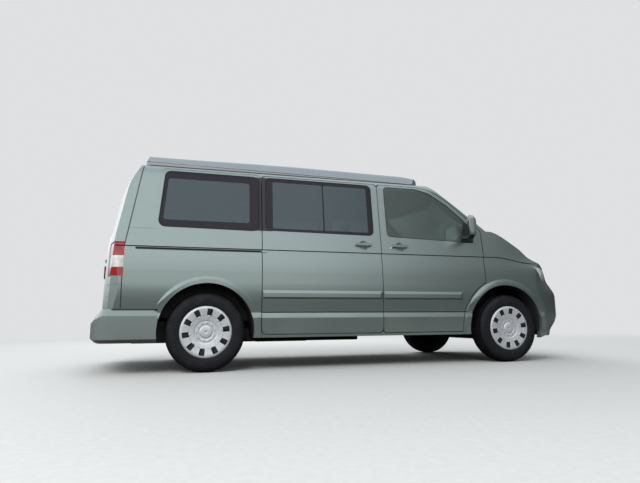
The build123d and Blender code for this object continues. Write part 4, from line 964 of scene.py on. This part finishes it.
# Door locks: bright cylinders in the front doors, ahead of the handles' bows.
# Each is a low dome.
for side, sign in SIDES.items():
    point, normal = put_on(f"front_door_{side}", (0.265, sign * 2.0, 1.105), (0, -sign, 0))
    lock = dome(point, normal, 0.0115, 0.0115, 0.003)
    grid_piece(f"door_lock_{side}", lock, chrome, "door_" + side)


# Cabin: moulded dashboard, steering wheel and the kitchen's laminate fronts.
# Their materials have a moulded grain.
cabin_plastic = moulded("cabin plastic", (0.05, 0.05, 0.055), 0.6, 0.0, 900.0, 0.2)
for name in ("dashboard", "steering_wheel"):
    dress(name, cabin_plastic, 0.002)
SEAMS_X, SEAM_Z, WORKTOP, SEAM_HALF = (-1.32, -0.66), 0.80, 1.13, 0.0015
laminate, place = new_material("kitchen laminate")
x, y, z = place.axes()
seams = x.band(SEAMS_X[0], SEAM_HALF).over(x.band(SEAMS_X[1], SEAM_HALF)).over(z.band(SEAM_Z, SEAM_HALF))
seams = seams * (1 - z.step(WORKTOP, WORKTOP + 0.001))
brushed = place.noise(40.0, 5.0)
base = brushed.step(0.3, 0.7).mix((0.36, 0.36, 0.345, 1), (0.42, 0.42, 0.40, 1))
place.close({"Base Color": seams.mix(base, (0.03, 0.03, 0.03, 1)), "Roughness": 0.32 + 0.1 * brushed})
dress("kitchen_unit", laminate, 0.001)


# Seats: foam cushions in a woven cloth, on boxed bases, with headrests on steel posts.
# Each pad is a crowned closed form with two sewn channels, narrower at its edges.
cloth, place = new_material("seat cloth")
weave = place.noise(900.0, 2.0)
shade = place.noise(9.0, 4.0)
bump = weave.relief(0.5, 0.0008)
base = (0.5 * weave + 0.5 * shade).step(0.35, 0.65).mix((0.065, 0.066, 0.075, 1), (0.115, 0.117, 0.130, 1))
place.close({"Base Color": base, "Roughness": 0.9, "Sheen Weight": 0.3, "Sheen Roughness": 0.5, "Normal": bump})


def pad(name, centre, half, lean, node_name, channels=(), power=5.0):
    """Superellipsoid of these half sizes (deep, wide, thick), crowned in the middle and leaned about Y.
    A channel is a groove along its depth at this share of its half width."""
    deep, wide, lat = superellipsoid(49, 96, power)
    thick = np.sign(np.sin(lat)) * np.abs(np.sin(lat)) ** 0.62
    crown = 0.80 + 0.20 * (1 - deep ** 2) * (1 - wide ** 2)
    for share in channels:
        crown = crown - 0.085 * np.exp(-((np.abs(wide) - share) / 0.045) ** 2) * (1 - deep ** 4)
    grid = tilted(np.stack([deep, wide, thick * crown], -1) * half, math.radians(lean)) + centre
    piece = grid_piece(name, grid, cloth, "body")
    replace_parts(piece, node_name)


seat_base = moulded("seat base", (0.04, 0.04, 0.042), 0.7, 0.0, 500.0, 0.2)


def plinth(name, low, high, node_name):
    """Boxed base with soft upright corners, closed at both ends."""
    low, high = np.array(low), np.array(high)
    middle, half = (low + high) / 2, (high - low) / 2
    path = np.array([middle - (0, 0, half[2]), middle, middle + (0, 0, half[2])])
    section = rounded(half[1], half[0], 12.0, 48)
    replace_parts(bar(name, path, section, seat_base, "body", (1, 0, 0), False), node_name)


for side, across in (("right", -0.43), ("left", 0.43)):
    plinth(f"seat_base_{side}", (0.46, across - 0.20, 0.456), (0.90, across + 0.20, 0.735), "front_seats")
    pad(f"seat_squab_{side}", (0.680, across, 0.785), (0.245, 0.240, 0.066), 3.0, "front_seats", (0.55,))
    pad(f"seat_back_{side}", (0.362, across, 1.108), (0.285, 0.236, 0.058), 105.0, "front_seats", (0.55,))
    pad(f"headrest_{side}", (0.276, across, 1.512), (0.084, 0.126, 0.046), 97.0, "front_seats", (), 4.0)
    for post, aside in (("near", -0.063), ("far", 0.063)):
        path = np.array([(0.280, across + aside, height) for height in np.linspace(1.36, 1.46, 4)])
        bar(f"headrest_post_{side}_{post}", path, rounded(0.006, 0.006, 2.0), chrome, "body", (1, 0, 0))
plinth("bench_base", (-1.325, -0.595, 0.456), (-0.765, 0.425, 0.755), "rear_bench")
pad("bench_squab", (-1.030, -0.085, 0.812), (0.294, 0.518, 0.066), 2.0, "rear_bench", (0.02, 0.5), 8.0)
pad("bench_back", (-1.448, -0.085, 1.125), (0.292, 0.508, 0.056), 102.5, "rear_bench", (0.02, 0.5), 8.0)
for side, across in (("right", -0.345), ("left", 0.175)):
    pad(f"bench_headrest_{side}", (-1.525, across, 1.490), (0.086, 0.116, 0.048), 98.0, "rear_bench", (), 4.0)


# Roof canvas: a coated cotton wall folded in pleats round the hatch, sewn to the deck and to the lid.
canvas, place = new_material("roof canvas")
weave = place.noise(700.0, 2.0)
fade = place.noise(5.0, 4.0)
bump = weave.relief(0.4, 0.0008)
place.close({
    "Base Color": fade.step(0.3, 0.7).mix((0.20, 0.205, 0.215, 1), (0.26, 0.265, 0.275, 1)),
    "Roughness": 0.85, "Sheen Weight": 0.2, "Normal": bump})
CANVAS_LOW, CANVAS_HIGH, CANVAS_MIDDLE, CANVAS_HALF = 1.806, 1.860, -0.49, (1.035, 0.492)
PLEATS, PLEAT_DEPTH, CANVAS_CROWN = 9, 0.016, 0.004
around_hatch = rounded(*CANVAS_HALF, 12.0, 240)
outward = around_hatch / np.linalg.norm(around_hatch, axis=1, keepdims=True)
outline = around_hatch + (CANVAS_MIDDLE, 0)
fold = PLEAT_DEPTH * (np.arange(2 * PLEATS + 1) % 2 * 2 - 1)
plan = outline[None] + fold[:, None, None] * outward[None]
crown = CANVAS_CROWN * (1 - (outline[:, 1] / 0.5) ** 2)
height = np.linspace(CANVAS_LOW, CANVAS_HIGH, 2 * PLEATS + 1)[:, None] + crown[None]
tent = grid_piece("roof_canvas", np.concatenate([plan, height[..., None]], -1), canvas, None)
give_wall(tent, 0.0012)
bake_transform(tent)
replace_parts(tent, "bellows")
girth = np.linalg.norm(np.roll(outline, -1, 0) - outline, axis=1).sum()


# Rear splash panels: plastic walls beside the rear wheels that close the arches down to the bumper.
# Each is a flat panel with rounded corners, upright along the van.
def panel(name, centre, direction, half_width, half_height):
    """Upright plastic plate, 4 mm thick along the direction that it looks in."""
    path = np.array(centre) + np.outer((-0.002, 0.0, 0.002), direction)
    bar(name, path, rounded(half_width, half_height, 8.0, 40), black_plastic, "body", smooth=False)


for side, sign in SIDES.items():
    panel(f"splash_panel_{side}", (-1.835, sign * 0.648, 0.365), (0, sign, 0), 0.060, 0.120)


# Wheelhouse walls: the inner walls of the boxes over the rear wheels, above the load floor.
# Each is the part of a disc that stands above the floor.
ARCH_X, ARCH_Z, ARCH_RADIUS = -1.453, 0.345, 0.402
ARCH_WALL, LOAD_FLOOR = 0.652, 0.455
wall_angle = np.arccos((LOAD_FLOOR - ARCH_Z) / ARCH_RADIUS) * np.linspace(-1, 1, 41)
for side, sign in SIDES.items():
    rim = np.stack([ARCH_X + ARCH_RADIUS * np.sin(wall_angle), np.full(41, sign * ARCH_WALL),
                    ARCH_Z + ARCH_RADIUS * np.cos(wall_angle)], -1)
    foot = np.stack([rim[:, 0], rim[:, 1], np.full(41, LOAD_FLOOR)], -1)
    grid = foot[:, None] + (rim - foot)[:, None] * np.linspace(0, 1, 5)[:, None]
    give_wall(grid_piece(f"wheelhouse_wall_{side}", grid, black_plastic, "body", closed=False,
                         smooth=False), 0.004)


# Air slot: a dark plate behind the slot in the front bumper.
# It is a flat panel with rounded corners, upright across the van.
panel("slot_plate", (2.22, 0.0, 0.385), (1, 0, 0), 0.600, 0.115)


# Front springs: steel coils round the struts, between the upright and the tower.
# Each is one bar wound five times.
COIL_ASIDE, COIL_RADIUS, COIL_FOOT, COIL_RISE = 0.653, 0.062, 0.470, 0.225
spring_steel = moulded("spring steel", (0.05, 0.05, 0.055), 0.45, 0.5, 200.0, 0.2)
for side, sign in SIDES.items():
    share = np.linspace(0, 1, 260)
    turn = share * 2 * np.pi * 5
    coil = np.stack([AXLES["front"] + COIL_RADIUS * np.cos(turn), sign * COIL_ASIDE + COIL_RADIUS * np.sin(turn),
                     COIL_FOOT + COIL_RISE * share], -1)
    bar(f"coil_{side}", coil, rounded(0.0065, 0.0065, 2.0, 10), spring_steel, f"knuckle_{side}")


# Studio: a pale floor that fades into the backdrop's colour, three soft lamps, and a sky that the camera sees as
# backdrop, while the paint mirrors it bright behind the van and dark ahead of it. None of it belongs to the van.
CAMERA_PLACE = (-1.7229, -5.2392, 0.4178)
CAMERA_YAW = 16.449
CAMERA_PITCH = 9.191
CAMERA_ROLL = -0.463
FOCAL_PIXELS = 493.0
PICTURE_WIDTH = 640
SENSOR = 36.0

yaw, pitch, roll = (math.radians(angle) for angle in (CAMERA_YAW, CAMERA_PITCH, CAMERA_ROLL))
ahead = Vector((math.sin(yaw) * math.cos(pitch), math.cos(yaw) * math.cos(pitch), math.sin(pitch)))
level = Vector((math.cos(yaw), -math.sin(yaw), 0))
up = level.cross(ahead)
across = level * math.cos(roll) + up * math.sin(roll)
up = up * math.cos(roll) - level * math.sin(roll)
camera_data = bpy.data.cameras.new("camera")
camera_data.sensor_width = SENSOR
camera_data.lens = FOCAL_PIXELS / PICTURE_WIDTH * SENSOR
camera_data.clip_end = 200.0
camera = bpy.data.objects.new("camera", camera_data)
turn = Matrix((across, up, -ahead)).transposed()
camera.matrix_world = Matrix.Translation(CAMERA_PLACE) @ turn.to_4x4()
bpy.context.scene.collection.objects.link(camera)
bpy.context.scene.camera = camera

BACKDROP = (0.74, 0.75, 0.76, 1)
FADE_RUN = (4.0, 13.0)
floor_mesh = bpy.data.meshes.new("floor")
reach = 60.0
floor_mesh.from_pydata([(-reach, -reach, 0), (reach, -reach, 0), (reach, reach, 0), (-reach, reach, 0)],
                       [], [(0, 1, 2, 3)])
floor = bpy.data.objects.new("floor", floor_mesh)
bpy.context.scene.collection.objects.link(floor)
floor_material, place = new_material("pale floor")
x, y, z = place.axes()
distance = (x * x + y * y).root()
speckle = place.noise(30.0, 4.0)
ground = place.principled({
    "Base Color": speckle.step(0.2, 0.8).mix((0.56, 0.56, 0.55, 1), (0.60, 0.60, 0.59, 1)), "Roughness": 0.8})
far = place.node("Emission", None, {"Color": BACKDROP, "Strength": 1.0})
seen = place.node("LightPath", None, None, 0)
mirrored = place.principled({
    "Base Color": speckle.step(0.2, 0.8).mix((0.055, 0.055, 0.050, 1), (0.075, 0.075, 0.070, 1)), "Roughness": 0.8})
lit = place.blended(seen, mirrored, ground)
place.close(place.blended(distance.step(*FADE_RUN) * seen, lit, far))
floor_mesh.materials.append(floor_material)


def lamp(name, place, target, size, power):
    """A soft lamp of this size in metres that shines from its place to a target, unseen in mirrors."""
    data = bpy.data.lights.new(name, "AREA")
    data.shape = "RECTANGLE"
    data.size, data.size_y = size
    data.energy = power
    light = bpy.data.objects.new(name, data)
    light.location = place
    light.rotation_euler = (Vector(target) - Vector(place)).to_track_quat("-Z", "Y").to_euler()
    light.visible_glossy = False
    bpy.context.scene.collection.objects.link(light)


lamp("key", (-6.0, -8.0, 7.0), (0, 0, 0.9), (7.0, 4.0), 800)
lamp("fill", (7.0, -6.0, 4.0), (0.5, 0, 0.8), (5.0, 3.0), 50)
lamp("back", (0.0, 8.0, 6.5), (0, 0, 1.0), (8.0, 3.0), 450)

world = bpy.data.worlds.new("sky")
bpy.context.scene.world = world
world.use_nodes = True
world.node_tree.nodes.clear()
start = Wire(world.node_tree)
seen = start.node("LightPath", None, None, 0)
x, y, z = start.node("TexCoord", None, None, 0).axes()
open_sky = z.step(-0.03, 0.19).mix((0.12, 0.13, 0.125, 1), (1.08, 1.13, 1.15, 1))
dark_sky = z.step(0.05, 0.75).mix((0.045, 0.050, 0.052, 1), (0.30, 0.33, 0.34, 1))
sky = x.step(0.24, 0.58).mix(open_sky, dark_sky)
sky = z.step(0.50, 0.9).mix(sky, (0.80, 0.85, 0.88, 1))
shade = seen.mix(sky, BACKDROP)
background = start.node("Background", None, {"Color": shade, "Strength": 1.0})
start.node("OutputWorld", None, {"Surface": background})
bpy.context.scene.view_settings.view_transform = "Standard"
